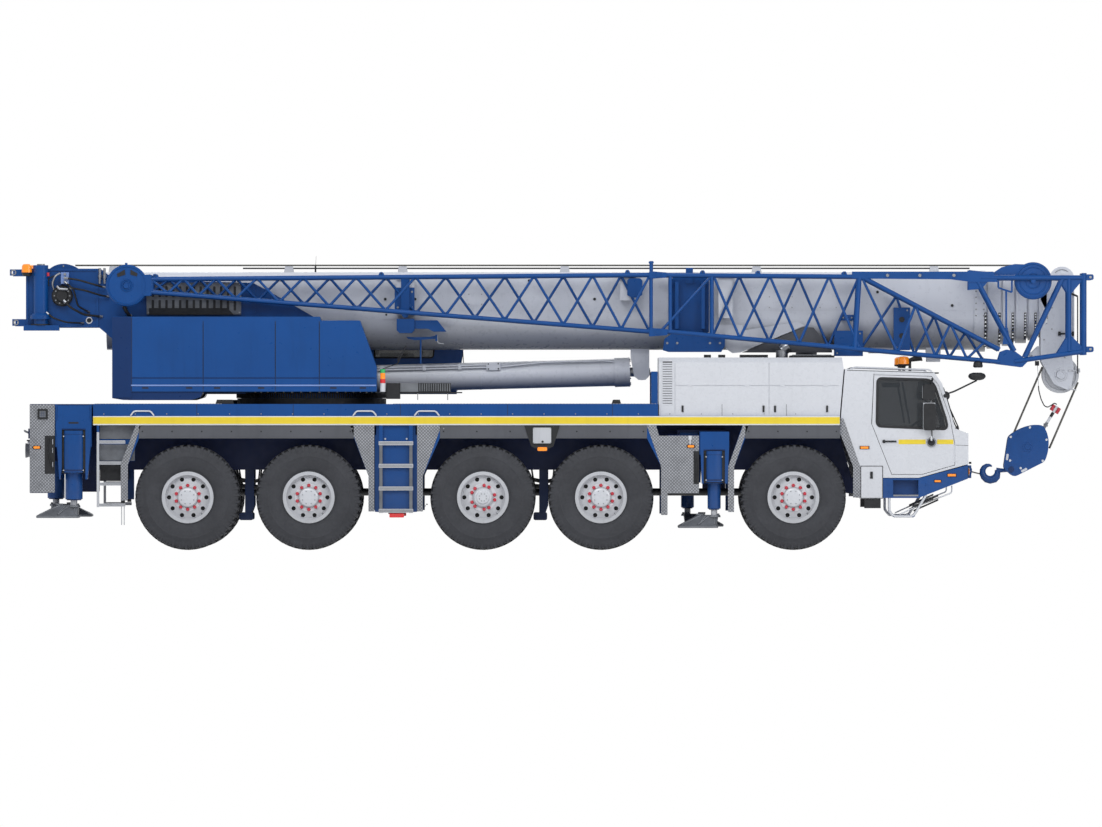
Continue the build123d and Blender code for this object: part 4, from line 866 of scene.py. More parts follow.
# seats, wheel and dash inside the cab
inside = Kit(SEAT, BLACK, STEEL)
for seat_y in (0.62, -0.62):
    inside.prism(rounded([(4.48, 1.52), (4.96, 1.54), (4.98, 1.66), (4.5, 1.66)], 0.04),
                 about(seat_y, 0.25))
    inside.prism(rounded([(4.42, 1.64), (4.56, 1.64), (4.5, 2.24), (4.36, 2.24)], 0.05),
                 about(seat_y, 0.24))
    inside.prism(rounded([(4.38, 2.26), (4.48, 2.26), (4.46, 2.42), (4.36, 2.42)], 0.04),
                 about(seat_y, 0.13))
    inside.prism([(4.52, 1.06), (4.9, 1.06), (4.84, 1.52), (4.58, 1.52)], about(seat_y, 0.18), 1)
inside.prism(rounded([(5.28, 1.28), (5.78, 1.28), (5.78, 1.56), (5.5, 1.64), (5.34, 1.6)], 0.03),
             (-1.2, 1.2), 1)
inside.bar((5.42, 0.62, 1.5), (5.2, 0.62, 1.78), 0.03, 1)
wheel_turn = Vector((-0.62, 0, 0.79)).to_track_quat("Z", "Y")
ring = [Vector((5.19, 0.62, 1.79)) + wheel_turn @ Vector((0.22 * cos(t), 0.22 * sin(t), 0))
        for t in np.linspace(0, 2 * pi, 33)]
for a, b in zip(ring, ring[1:]):
    inside.bar(a, b, 0.015, 1, 8)
for spoke in (ring[4], ring[15], ring[24]):
    inside.bar((5.19, 0.62, 1.79), spoke, 0.012, 1, 8)
inside.prism(soft_box(4.648, 4.897, 2.278, 2.342, 0.02), (-1.2, -1.1), 1)
inside.prism(rounded([(5.22, 2.2), (5.4, 2.2), (5.36, 2.4), (5.22, 2.42)], 0.02), (-1.15, 1.15), 1)
inside.piece("cab_inside", "carrier", "black_rubber", bevel=0.004)

# engine hood
hood = Kit(BLACK, WHITE, STEEL, FENDER)
for sign in (-1, 1):
    skin = offsets(sign, CAB_Y)
    for latch_x in (1.849, 2.982, 3.143, 3.871):
        hood.box(about(latch_x, 0.014), skin(PROUD, 0.012), (1.93, 2.022))
    hood.box((1.56, 1.712), skin(PROUD, 0.004), (2.03, 2.655), 1)
    hood.box((1.57, 1.702), skin(0.004, 0.006), (2.622, 2.64))
    for louvre_z in np.arange(2.05, 2.61, 0.034):
        hood.box((1.57, 1.702), skin(0.0042, 0.0052), (louvre_z, louvre_z + 0.01), 3)
        hood.box((1.57, 1.702), skin(0.0042, 0.012), (louvre_z + 0.01, louvre_z + 0.018), 1)
    for hinge_x in (1.95, 2.75, 3.25, 3.85):
        hood.box(about(hinge_x, 0.035), skin(PROUD, 0.006), (2.286, 2.316), 1)
    hood.box((1.545, 1.717), skin(PROUD, 0.003), (2.02, 2.055), 1)
hood.box((2.66, 3.05), (-0.95, -0.35), (2.695, 2.735))
hood.post(3.25, -0.7, 2.69, 2.8, 0.085, 2, 28)
hood.bar((3.25, -0.7, 2.795), (3.34, -0.7, 2.86), 0.085, 2, 28)
hood.post(3.62, 0.6, 2.69, 2.79, 0.15, 3, 28)
hood.post(3.62, 0.6, 2.785, 2.83, 0.18, 3, 28)
hood.box((3.36, 3.98), (-1.05, -0.1), (2.695, 2.725))
for bar_y in np.linspace(-0.98, -0.17, 12):
    hood.box((3.4, 3.94), (bar_y, bar_y + 0.035), (2.725, 2.737), 2)
for cap_x in (2.2, 2.4):
    hood.post(cap_x, -1.02, 2.69, 2.735, 0.05, 0, 20)
hood.piece("hood_fittings", "carrier", "dark_metal", bevel=0.002)

# ---------------- stowed lattice jib
JIB_NEAR, JIB_FAR = -1.235, -0.665
CHORD_R, LACE_R = 0.031, 0.019
REAR_TOP = ((-5.593, 3.794), (1.393, 3.853))
REAR_LOW = ((-5.593, 3.612), (1.393, 3.059))
FRONT_TOP = ((1.533, 3.85), (4.354, 3.828))
NOSE_TOP = ((4.354, 3.828), (6.289, 2.806))
FRONT_LOW = ((1.533, 3.069), (6.289, 2.634))
REAR_STATIONS = (-5.593, -5.36, -5.14, -4.93, -4.68, -4.41, -4.11, -3.8, -3.46, -3.1, -2.72, -2.31, -1.89,
                 -1.47, -1.06, -0.64, -0.23, 0.18, 0.59, 0.99, 1.393)
MIDDLE_STATIONS = (2.281, 2.65, 3.07, 3.48, 3.9, 4.33)
NOSE_STATIONS = (4.354, 4.86, 5.11, 5.39, 5.6, 5.83, 6.08)


def along(line, x):
    """The height at x of a line in side view."""
    (x0, z0), (x1, z1) = line
    return z0 + (z1 - z0) * (x - x0) / (x1 - x0)


jib = Kit(BLUE, STEEL, BLACK, SILVER)
for plane_y in (JIB_NEAR, JIB_FAR):
    for (x0, z0), (x1, z1) in (REAR_TOP, REAR_LOW, FRONT_TOP, NOSE_TOP, FRONT_LOW):
        jib.bar((x0, plane_y, z0), (x1, plane_y, z1), CHORD_R, 0, 20)
for upper, lower, stations in ((REAR_TOP, REAR_LOW, REAR_STATIONS), (FRONT_TOP, FRONT_LOW, MIDDLE_STATIONS),
                               (NOSE_TOP, FRONT_LOW, NOSE_STATIONS)):
    for phase, plane_y in ((0, JIB_NEAR), (1, JIB_FAR)):
        for k in range(len(stations) - 1):
            high, low = stations[k:k + 2] if k % 2 == phase else stations[k:k + 2][::-1]
            top, foot = (high, plane_y, along(upper, high)), (low, plane_y, along(lower, low))
            jib.bar(top, foot, LACE_R, 0, 12)
            # weld at each end
            way = (Vector(foot) - Vector(top)).normalized()
            for end, turn in ((Vector(top), 1), (Vector(foot), -1)):
                jib.bar(end + way * turn * CHORD_R, end + way * turn * (CHORD_R + 0.016), LACE_R + 0.01, 0,
                        12, LACE_R)
    for k, x in enumerate(stations):
        for line in (upper, lower):
            jib.pin(x, along(line, x), JIB_NEAR, JIB_FAR, LACE_R, 0, 12)
            if k + 1 < len(stations):
                ends = (JIB_NEAR, JIB_FAR) if k % 2 else (JIB_FAR, JIB_NEAR)
                ahead = stations[k + 1]
                jib.bar((x, ends[0], along(line, x)), (ahead, ends[1], along(line, ahead)), LACE_R - 0.003,
                        0, 12)
# the folding bay's one diagonal, on the near side
jib.bar((1.56, JIB_NEAR, 3.08), (2.261, JIB_NEAR, along(FRONT_TOP, 2.261)), LACE_R, 0, 12)
# posts: top, foot, radius
POSTS = [
    ((-5.593, 3.794), (-5.593, 3.612), 0.03), ((1.41, 3.9), (1.41, 3.05), 0.024),
    ((1.678, 3.849), (1.678, 3.056), 0.024), ((2.261, 3.844), (2.261, 3.002), 0.026),
    ((4.325, 3.828), (4.263, 2.82), 0.034), ((6.499, 2.786), (5.984, 3.76), 0.03),
    ((7.174, 3.8), (6.649, 2.7), 0.03), ((7.262, 3.8), (7.262, 2.78), 0.032),
    ((6.5, 2.64), (7.46, 2.78), 0.034), ((6.021, 3.812), (7.46, 3.812), 0.036),
    ((7.47, 2.73), (7.47, 3.878), 0.036),
]
for (x0, z0), (x1, z1), radius in POSTS:
    for plane_y in (JIB_NEAR, JIB_FAR):
        jib.bar((x0, plane_y, z0), (x1, plane_y, z1), radius, 0, 18)
for x, z in ((7.47, 2.8), (7.47, 3.812), (6.04, 3.812), (6.56, 2.66)):
    jib.pin(x, z, JIB_NEAR, JIB_FAR, 0.028, 0, 16)
for plane_y in (JIB_NEAR, JIB_FAR):
    web = about(plane_y, 0.015)
    wide = about(plane_y, 0.04)
    # knuckles where the jib folds, with their pins
    for x0, x1, z0, z1 in ((1.38, 1.628, 3.8, 3.905), (1.38, 1.64, 2.99, 3.112)):
        outline = rounded([(x0, z0), (x1, z0 + 0.02), (x1, z1 - 0.02), (x0, z1)], 0.02)
        jib.prism(outline, wide)
        middle = (z0 + z1) / 2
        jib.pin(1.505, middle, plane_y - 0.052, plane_y + 0.052, 0.02, 1, 16)
        jib.pin(1.505, middle, plane_y - 0.058, plane_y - 0.05, 0.03, 0, 18)
    # node plate of the lower chord, corner gussets, head plates
    jib.prism([(6.252, 2.604), (6.306, 2.775), (6.39, 2.807), (6.499, 2.786), (6.69, 2.646), (6.606, 2.56)],
              web)
    jib.prism([(7.02, 2.7), (7.1, 2.76), (7.24, 2.99), (7.3, 2.99), (7.46, 2.83), (7.46, 2.74)], web)
    jib.prism([(7.12, 3.79), (7.24, 3.6), (7.3, 3.6), (7.46, 3.79)], web)
    jib.prism([(5.856, 3.643), (5.856, 3.921), (6.038, 3.9), (6.2, 3.84), (6.038, 3.66)], web)
    jib.prism([(-5.56, 3.6), (-5.56, 3.83), (-5.9, 3.8), (-6.01, 3.72), (-6.01, 3.66), (-5.9, 3.6)], web)
    jib.prism(rounded([(-5.714, 3.56), (-5.586, 3.56), (-5.586, 3.86), (-5.714, 3.85)], 0.03), wide)
    for lug_z in (2.81, 3.82):
        jib.prism(soft_box(7.46, 7.605, lug_z - 0.04, lug_z + 0.04, 0.03), web)
        jib.pin(7.56, lug_z, plane_y - 0.03, plane_y + 0.03, 0.018, 1, 16)
    # eyes along the upper chord
    for eye_x in (-5.538, -2.37, 1.078, 2.13, 2.906, 4.115):
        eye_z = along(REAR_TOP if eye_x < 1.45 else FRONT_TOP, eye_x) + CHORD_R
        jib.prism(rounded([(eye_x - 0.045, eye_z - 0.02), (eye_x + 0.045, eye_z - 0.02),
                           (eye_x + 0.022, eye_z + 0.04), (eye_x - 0.022, eye_z + 0.04)], 0.015), web)
        jib.pin(eye_x, eye_z + 0.016, plane_y - 0.017, plane_y + 0.017, 0.01, 2, 14)
# long arm on the near side with its pins and their bosses
jib.prism([(4.22, 3.8), (4.22, 3.898), (5.86, 3.898), (6.2, 3.898), (6.265, 3.752), (5.9, 3.752),
           (5.6, 3.79)], about(JIB_NEAR, 0.03))
for pin_x in (4.718, 5.17, 5.648):
    jib.pin(pin_x, 3.845, JIB_NEAR - 0.05, JIB_NEAR + 0.035, 0.022, 1, 18)
    jib.pin(pin_x, 3.845, JIB_NEAR - 0.036, JIB_NEAR - 0.029, 0.04, 0, 22)
# rope guide wheel, and the wheel at the tip
disc(jib, 6.759, -1.14, 3.769, 0.262, 0.095, (0.235, 0.19, 0.105))
disc(jib, -5.93, -1.245, 3.704, 0.292, 0.05, (0.262, 0.085, 0.06))
jib.pin(-5.943, 3.696, JIB_NEAR - 0.06, JIB_FAR + 0.02, 0.034, 0, 20)
jib.pin(6.759, 3.769, JIB_NEAR - 0.02, JIB_FAR, 0.034, 0, 20)
jib.prism([(-6.07, 3.865), (-5.96, 3.925), (-5.95, 3.855), (-6.06, 3.82)], (-1.278, -1.272), 2)
jib.prism([(-5.88, 3.925), (-5.78, 3.87), (-5.79, 3.83), (-5.88, 3.855)], (-1.278, -1.272), 2)
jib.post(-5.94, -1.245, 3.98, 4.02, 0.018, 0, 12)
# bracket that leads to the guide wheel
jib.prism([(6.15, 3.85), (6.32, 3.96), (6.5, 4.005), (6.64, 4.0), (6.7, 3.9), (6.5, 3.85)], (-1.18, -1.1))
# hanging bracket with its rod
for a, b in (((6.27, 3.77), (6.27, 3.672)), ((6.27, 3.672), (6.46, 3.608)), ((6.46, 3.608), (6.46, 3.77))):
    jib.bar((a[0], JIB_NEAR, a[1]), (b[0], JIB_NEAR, b[1]), 0.013, 0, 10)
jib.post(6.38, JIB_NEAR, 3.64, 3.06, 0.013, 0, 12)
jib.post(6.38, JIB_NEAR, 3.11, 3.06, 0.024, 0, 12)
jib.prism([(6.33, 2.88), (6.44, 2.88), (6.41, 3.07), (6.35, 3.07)], about(JIB_NEAR, 0.012))
jib_piece = jib.piece("jib_truss", "boom", "blue")
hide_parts("lattice_jib")

# ---------------- slew ring and deck fittings
gear = Kit(BLACK, BLUE, WHITE, STEEL)
SLEW_X = -3.367
TEETH, RING_BOLTS, RING_BOLT_R = 188, 48, 0.985
for k in range(TEETH):
    t = 2 * pi * k / TEETH
    c, s = cos(t), sin(t)
    ring = [(SLEW_X + r * c - w * s, r * s + w * c) for r, w in
            ((1.046, -0.01), (1.062, -0.006), (1.062, 0.006), (1.046, 0.01))]
    gear.rings([[(px, py, pz) for px, py in ring] for pz in (2.128, 2.2)], 0)
for x, y in around(SLEW_X, 0, RING_BOLT_R, RING_BOLTS):
    gear.post(x, y, 2.203, 2.216, 0.014, 3, 6)
gear.piece("slew_teeth", "carrier", "dark_metal")

for side, sign in SIDES:
    deck = Kit(WHITE, BLACK, BLUE, STEEL, CHEQUER)
    for low_x, high_x in ((-5.873, -5.551), (-2.76, -2.44), (-1.9, -1.56)):
        y = sign * 1.358
        path_bar(deck, [(low_x, sign * 1.338, 1.885), (low_x, y, 1.885), (low_x + 0.045, y, 1.945),
                        (high_x - 0.045, y, 1.945), (high_x, y, 1.885), (high_x, sign * 1.338, 1.885)],
                 0.011, 0, 10)
    for seam_x in (-4.95, -3.6, -2.1, -0.6, 0.866, 2.4, 3.3):
        deck.box(about(seam_x, 0.003), span(sign, 1.34, 1.3415), (1.88, 2.04), 1)
    for low_x, high_x in ((-4.69, -4.43), (0.866, 0.99)):
        deck.prism([(low_x, 2.044), (low_x + 0.02, 2.105), (high_x - 0.02, 2.105), (high_x, 2.044)],
                   span(sign, 1.24, 1.3), 1)
    for k in range(23):
        x = -6.25 + 0.44 * k
        bolt(deck, x, sign * 1.34, 1.905, sign, 0.009, 3, 0.006)
    # chequer walkway along the deck's edge
    deck.box((-2.2, 1.48), span(sign, 1.02, 1.335), (2.0445, 2.05), 4)
    deck.box((-6.38, -4.6), span(sign, 1.1, 1.335), (2.0445, 2.05), 4)
    deck.piece(f"deck_fittings_{side}", "carrier", "chequer_plate", bevel=0.002)

# ---------------- superstructure fittings
PLATE_Y = 0.53
COVER_Y = 1.34
PIVOT_X, PIVOT_Z = -6.0, 3.65
MOTOR_X, MOTOR_Z = -6.863, 3.565
upper = Kit(BLUE, BLACK, CAST, STEEL, RED, WHITE, AMBER, GREEN_LENS, RED_LENS, HOSE, SILVER, PALE_BLUE,
            SHADE_BLUE)
# cover mouldings, slots, seams
for sign in (-1, 1):
    face = sign * COVER_Y
    out = offsets(sign, COVER_Y)
    # long moulding along the cover: its pale blue is a painted highlight
    upper.rod(face, 2.304, -5.87, -2.44, 0.011, 11, 12)
    # groove line, rear corner sheet and the band below the covers, in the darker blue: painted shade
    upper.box((-5.87, -2.44), out(0, 0.001), (2.398, 2.414), 12)
    upper.box((-6.133, -5.862), out(0, 0.0008), (2.137, 3.262), 12)
    upper.prism([(-6.134, 2.217), (-6.134, 2.125), (-5.98, 2.1), (-5.02, 2.1), (-4.9, 2.14),
                 (-4.86, 2.217)], span(sign, 0.7, 1.318), 12)
    for slot_x in (-5.67, -5.057, -4.665, -4.049, -3.039, -2.625):
        upper.box(about(slot_x, 0.045), out(0, 0.0015), (2.258, 2.279), 1)
    upper.box((-5.862, -5.856), out(0, 0.0012), (2.225, 3.25), 1)
    for seam_x in (-4.861, -3.851, -3.235):
        upper.box(about(seam_x, 0.0035), out(-0.004, 0.0006), (2.225, 3.205), 1)
# status lamps in a column, their bent wires
lamp_x, lamp_y = -2.347, -1.285
for low, high, look, radius in ((2.215, 2.337, 5, 0.039), (2.337, 2.392, 8, 0.038),
                                (2.394, 2.478, 6, 0.036), (2.48, 2.53, 7, 0.036)):
    upper.solid([(low, radius), (high - 0.006, radius), (high, radius - 0.006)], (lamp_x, lamp_y, 0), look,
                28, "Z")
upper.post(lamp_x, lamp_y, 2.19, 2.216, 0.024, 1)
path_bar(upper, at_y(-1.26, [(-2.395, 2.5), (-2.33, 2.545), (-2.14, 2.61), (-2.02, 2.86)]), 0.007, 1, 8)
path_bar(upper, at_y(-1.23, [(-2.14, 2.65), (-2.115, 2.74), (-2.035, 2.8)]), 0.008, 1, 8)
# control boxes at the front of the platform
upper.box((-2.3, -2.11), (-1.24, -0.56), (2.115, 2.338), 1)
upper.box((-2.105, -1.852), (-1.2, -0.56), (2.215, 2.338), 2)
upper.box((-1.848, -1.4), (-1.2, -0.56), (2.215, 2.338), 1)
for rib_x in np.arange(-1.835, -1.41, 0.032):
    upper.box((rib_x, rib_x + 0.012), (-1.208, -1.2), (2.222, 2.332), 2)
upper.box((-2.42, -1.24), (-1.19, -0.54), (2.196, 2.212), 1)
for drop_x in (-1.86, -1.44):
    upper.post(drop_x, -1.15, 2.1, 2.2, 0.006, 3, 8)
# grille: grey cover with dark slots, dark sill below
upper.box((-5.677, -4.347), (-0.6065, -0.6005), (3.304, 3.752), 2)
for row_z in (3.432, 3.623):
    for k in range(13):
        slot_x = -5.588 + 0.096 * k
        upper.prism(soft_box(slot_x - 0.017, slot_x + 0.017, row_z - 0.075, row_z + 0.075, 0.012),
                    (-0.6078, -0.6064), 1)
upper.prism([(-5.64, 3.3), (-5.64, 3.392), (-4.54, 3.392), (-4.45, 3.3)], (-0.66, -0.607), 1)
for bolt_x in (-5.65, -5.01, -4.372):
    for bolt_z in (3.33, 3.73):
        bolt(upper, bolt_x, -0.6065, bolt_z, -1, 0.012, 3, 0.008)
# beacons at the rear corners
for beacon_sign in (-1, 1):
    y = beacon_sign * 0.64
    upper.box((-7.4, -7.315), span(beacon_sign, PLATE_Y, 0.69), (3.842, 3.852), 1)
    upper.solid([(3.85, 0.06), (3.893, 0.072)], (-7.358, y, 0), 1, 28, "Z")
    upper.lathe([(3.893, CORE), (3.893, 0.074), (3.985, 0.068), (4.008, 0.05), (4.014, CORE)],
                (-7.358, y, 0), 6, 28, "Z")
# oil filter: bands, foot, cap
filter_y = -0.64
upper.solid([(3.15, 0.142), (3.168, 0.142)], (-7.164, filter_y, 0), 1, 36, "Z")
upper.lathe([(3.236, 0.1025), (3.236, 0.146), (3.29, 0.146), (3.32, 0.112), (3.32, 0.1025)],
            (-7.164, filter_y, 0), 0, 36, "Z")
upper.lathe([(3.94, 0.1025), (3.94, 0.106), (3.99, 0.106), (3.99, 0.1025)], (-7.164, filter_y, 0), 0, 36,
            "Z")
upper.post(-7.056, -0.7, 3.84, 3.89, 0.019, 4, 20)
upper.post(-7.16, filter_y, 3.99, 4.012, 0.055, 3, 24)
# winch motor with its flange, ports and bolts
upper.solid([(-0.53, 0.15), (-0.56, 0.15), (-0.56, 0.137), (-0.64, 0.132), (-0.64, 0.08), (-0.69, 0.076)],
            (MOTOR_X, 0, MOTOR_Z), 1, 40)
for x, z in around(MOTOR_X, MOTOR_Z, 0.108, 10):
    bolt(upper, x, -0.64, z, -1, 0.011, 3, 0.01)
upper.box((-6.879, -6.767), (-0.64, -0.531), (3.734, 3.895), 11)
path_bar(upper, [(-6.89, -0.66, 3.88), (-6.96, -0.69, 3.84), (-7.0, -0.69, 3.74), (-6.98, -0.64, 3.66)],
         0.017, 3, 12)
path_bar(upper, [(-6.93, -0.7, 3.7), (-6.9, -0.71, 3.66), (-6.78, -0.71, 3.655)], 0.02, 3, 12)
path_bar(upper, [(-6.94, -0.66, 3.86), (-7.06, -0.66, 3.8), (-7.05, -0.64, 3.7)], 0.01, 1, 10)
for port_z in (3.76, 3.815, 3.868):
    upper.pin(-6.823, port_z, -0.64, -0.668, 0.019, 3, 6)
# hoses and fittings
HOSES = [
    ([(-6.823, -0.665, 3.815), (-6.64, -0.68, 3.79), (-6.4, -0.665, 3.72), (-6.26, -0.6, 3.68)], 0.014),
    ([(-6.76, -0.64, 3.68), (-6.54, -0.69, 3.64), (-6.33, -0.64, 3.575), (-6.21, -0.56, 3.55)], 0.014),
    ([(-6.823, -0.665, 3.76), (-6.7, -0.7, 3.66), (-6.64, -0.64, 3.42), (-6.48, -0.545, 3.33)], 0.013),
    ([(-6.84, -0.69, 3.5), (-6.74, -0.72, 3.4), (-6.56, -0.65, 3.3), (-6.3, -0.545, 3.27)], 0.016),
    ([(-5.99, -0.56, 3.42), (-5.98, -0.64, 3.38), (-5.93, -0.64, 3.3), (-5.9, -0.56, 3.262)], 0.026),
    ([(-7.08, -0.7, 3.33), (-6.98, -0.74, 3.25), (-6.8, -0.7, 3.19), (-6.56, -0.56, 3.18)], 0.013),
]
for points, radius in HOSES:
    path_bar(upper, points, radius, 9, 12)
    for end, after in ((points[0], points[1]), (points[-1], points[-2])):
        way = (Vector(after) - Vector(end)).normalized()
        upper.bar(end, Vector(end) + way * 0.045, radius * 1.35, 3, 6)
for fitting_x in (-6.335, -6.268):
    upper.post(fitting_x, -0.575, 3.735, 3.955, 0.018, 3, 12)
    upper.post(fitting_x, -0.575, 3.82, 3.86, 0.028, 3, 6)
upper.lathe([(-0.53, 0.032), (-0.53, 0.048), (-0.538, 0.048), (-0.538, 0.032)], (-6.486, 0, 3.22), 5, 28)
upper.pin(-6.486, 3.22, -0.529, -0.534, 0.033, 1, 24)
# plate edges: stiffening strips, pivot boss, bolts round it
for sign in (-1, 1):
    out = offsets(sign, PLATE_Y)
    for edges in ((-7.372, -7.34, 3.122, 3.948), (-7.34, -6.355, 3.918, 3.948),
                  (-7.34, -6.355, 3.122, 3.152), (-6.385, -6.355, 3.152, 3.918)):
        upper.prism(oblong(*edges), out(PROUD, 0.02))
    upper.prism([(-4.179, 3.32), (-4.15, 3.32), (-4.15, 3.728), (-4.179, 3.744)], out(PROUD, 0.016))
    upper.lathe(facing(sign, ((0.5302, 0.085), (0.5302, 0.15), (0.552, 0.146), (0.552, 0.085))),
                (PIVOT_X, 0, PIVOT_Z), 0, 40)
    for x, z in around(PIVOT_X, PIVOT_Z, 0.118, 8, 0.5):
        bolt(upper, x, sign * 0.552, z, sign, 0.012, 3, 0.01)
    for lug_x, lug_z in ((-7.55, 3.893), (-7.515, 3.191)):
        upper.lathe(facing(sign, ((0.5302, 0.026), (0.5302, 0.042), (0.537, 0.04), (0.537, 0.026))),
                    (lug_x, 0, lug_z), 3, 28)
upper.piece("superstructure_fittings", "upper", "blue", bevel=0.0015)

# rope wound on the drum
DRUM_X, DRUM_Z, DRUM_HALF = -6.853, 3.71, 0.328
ROPE_TURNS, ROPE_PITCH = 28, 0.0234
drum = Kit(ROPE, BLUE, STEEL)
wound = [(-DRUM_HALF, 0.232)]
for k in range(ROPE_TURNS):
    middle = -DRUM_HALF + ROPE_PITCH * (k + 0.5)
    wound += [(middle - 0.0095, 0.246), (middle - 0.005, 0.254), (middle, 0.2565), (middle + 0.005, 0.254),
              (middle + 0.0095, 0.246)]
wound += [(DRUM_HALF, 0.232)]
drum.lathe(wound, (DRUM_X, 0, DRUM_Z), 0, 64)
for sign in (-1, 1):
    for x, z in around(DRUM_X, DRUM_Z, 0.275, 8):
        bolt(drum, x, sign * 0.365, z, sign, 0.012, 2, 0.008)
drum.piece("wound_rope", "hoist", "bare_steel")

# ---------------- lift cylinder
LIFT_FOOT, LIFT_EYE = Vector((-3.3, 0, 2.38)), Vector((1.29, 0, 2.5))
lift_way = (LIFT_EYE - LIFT_FOOT).normalized()
lift_up = Vector((-lift_way.z, 0, lift_way.x))


def on_lift(distance, up=0.0, across=0.0):
    """A point beside the lift cylinder's line, measured from its foot pin."""
    return LIFT_FOOT + lift_way * distance + lift_up * up + Vector((0, across, 0))


barrel = Kit(BOOM_GREY, STEEL, BLACK, HOSE)
for start, end, radius in ((4.205, 4.235, 0.2075), (0.3, 0.33, 0.198), (2.3, 2.325, 0.1945)):
    barrel.bar(on_lift(start), on_lift(end), radius, 0, 48)
for across, up in around(0, 0, 0.178, 12):
    barrel.bar(on_lift(4.418, up, across), on_lift(4.434, up, across), 0.012, 1, 6)
for rise in (0.115, 0.15):
    path_bar(barrel, [on_lift(0.42, rise, -0.14), on_lift(0.5, rise, -0.195), on_lift(2.42, rise, -0.195)],
             0.013, 0, 12)
path_bar(barrel, [on_lift(2.58, 0.115, -0.195), on_lift(3.2, 0.165, -0.17), on_lift(4.05, 0.165, -0.17),
                  on_lift(4.18, 0.15, -0.15)], 0.013, 0, 12)
barrel.rings([[on_lift(d, u, a) for d, u in ((2.4, 0.075), (2.6, 0.075), (2.6, 0.185), (2.4, 0.185))]
              for a in (-0.215, -0.1)], 0)
for bolt_d in (2.43, 2.57):
    for bolt_u in (0.095, 0.165):
        barrel.bar(on_lift(bolt_d, bolt_u, -0.215), on_lift(bolt_d, bolt_u, -0.224), 0.011, 2, 6)
for clamp in (0.9, 1.5, 2.0):
    barrel.rings([[on_lift(d, u, a) for d, u in ((clamp, 0.095), (clamp + 0.05, 0.095),
                                                 (clamp + 0.05, 0.172), (clamp, 0.172))]
                  for a in (-0.212, -0.13)], 0)
barrel.piece("lift_barrel_fittings", "lift_cylinder", "boom_grey", bevel=0.0015)

# ---------------- boom fittings
BOOM_Y = 0.43
boom = Kit(BLUE, BLACK, BOOM_GREY, STEEL, ROPE, HOSE, SILVER, CLEAR_LENS, FENDER)
# ropes and rod along the top, with their rests
ROPE_ROWS = (-0.05, 0.05, 0.13)
for rope_y in ROPE_ROWS:
    boom.rod(rope_y, 4.0, -6.43, 6.9, 0.011, 4, 10)
boom.rod(-0.3, 3.954, -4.33, 5.9, 0.011, 1, 10)
for rest_x in (-6.15, -3.68, -2.08, 0.2, 2.9, 5.4):
    boom.prism([(rest_x - 0.07, 3.899), (rest_x - 0.055, 3.985), (rest_x + 0.055, 3.985),
                (rest_x + 0.07, 3.899)], (-0.34, -0.26), 6)
    boom.prism([(rest_x - 0.06, 3.899), (rest_x - 0.045, 3.986), (rest_x + 0.045, 3.986),
                (rest_x + 0.06, 3.899)], (-0.1, 0.18), 6)
# whip antenna
boom.post(-3.31, -0.2, 3.899, 3.99, 0.012, 1, 10)
boom.bar((-3.31, -0.2, 3.985), (-3.3, -0.2, 4.13), 0.003, 1, 6, 0.0015)
for sign in (-1, 1):
    face = sign * BOOM_Y
    out = offsets(sign, BOOM_Y)
    # seam between the side plate and the rounded belly
    boom.box((-4.1, 5.94), out(0.0002, 0.003), (3.358, 3.366), 2)
    # hatches with their screws
    for low_x, high_x, low_z, high_z in ((-1.17, -0.947, 3.425, 3.61), (3.057, 3.42, 3.38, 3.575),
                                         (3.77, 4.04, 3.38, 3.575)):
        boom.prism(soft_box(low_x, high_x, low_z, high_z, 0.02), out(0.0003, 0.006), 2)
        for bolt_x in (low_x + 0.022, high_x - 0.022):
            for bolt_z in (low_z + 0.022, high_z - 0.022):
                bolt(boom, bolt_x, sign * (BOOM_Y + 0.006), bolt_z, sign, 0.009, 3, 0.005)
    # small plugs along the side
    for plug_x, plug_z in ((-2.325, 3.52), (-1.905, 3.52), (-0.3, 3.78), (0.62, 3.52), (4.6, 3.62),
                           (5.65, 3.43)):
        boom.pin(plug_x, plug_z, face, face + sign * 0.012, 0.02, 1, 20)
    boom.box((-2.36, -2.175), out(0.0003, 0.008), (3.24, 3.4), 2)
    bolt(boom, -2.31, sign * (BOOM_Y + 0.008), 3.3, sign, 0.016, 1, 0.01)
    # collar bolts
    for collar_x in (5.985, 6.095):
        for bolt_z in np.linspace(3.29, 3.8, 7):
            bolt(boom, collar_x, sign * (BOOM_Y + 0.026), bolt_z, sign, 0.013, 3, 0.01)
# jib rest behind the cab: post, flange, arm, wedge, hanging rod
boom.box((-2.1, -1.98), (-0.7, -0.634), (3.3, 3.8))
boom.box((-2.19, -1.91), (-0.65, -0.638), (3.33, 3.68))
boom.prism([(-2.16, 3.24), (-2.16, 3.08), (-2.12, 3.04), (-1.95, 3.04), (-1.91, 3.08), (-1.91, 3.24)],
           (-0.8, -0.43))
boom.prism([(-1.91, 3.22), (-1.59, 3.22), (-1.46, 3.06), (-1.64, 3.06), (-1.72, 3.1), (-1.91, 3.1)],
           (-0.76, -0.56))
boom.prism([(-2.03, 2.99), (-2.0, 2.96), (-1.91, 2.94), (-1.6, 2.96), (-1.6, 3.01), (-1.7, 2.99),
            (-1.9, 2.985)], (-0.6, -0.56))
boom.post(-1.825, -0.58, 2.965, 2.61, 0.012, 0, 12)
boom.box((-1.62, -1.59), (-0.62, -0.54), (2.93, 3.02))
path_bar(boom, at_y(-0.57, [(-1.59, 3.01), (-1.585, 2.9), (-1.5, 2.89)]), 0.006, 6, 8)
for clamp_x in (-2.145, -1.945):
    bolt(boom, clamp_x, -0.65, 3.62, -1, 0.016, 3)
    bolt(boom, clamp_x, -0.65, 3.4, -1, 0.016, 3)
boom.pin(-2.04, 3.3, -0.8, -0.56, 0.045, 0, 24)
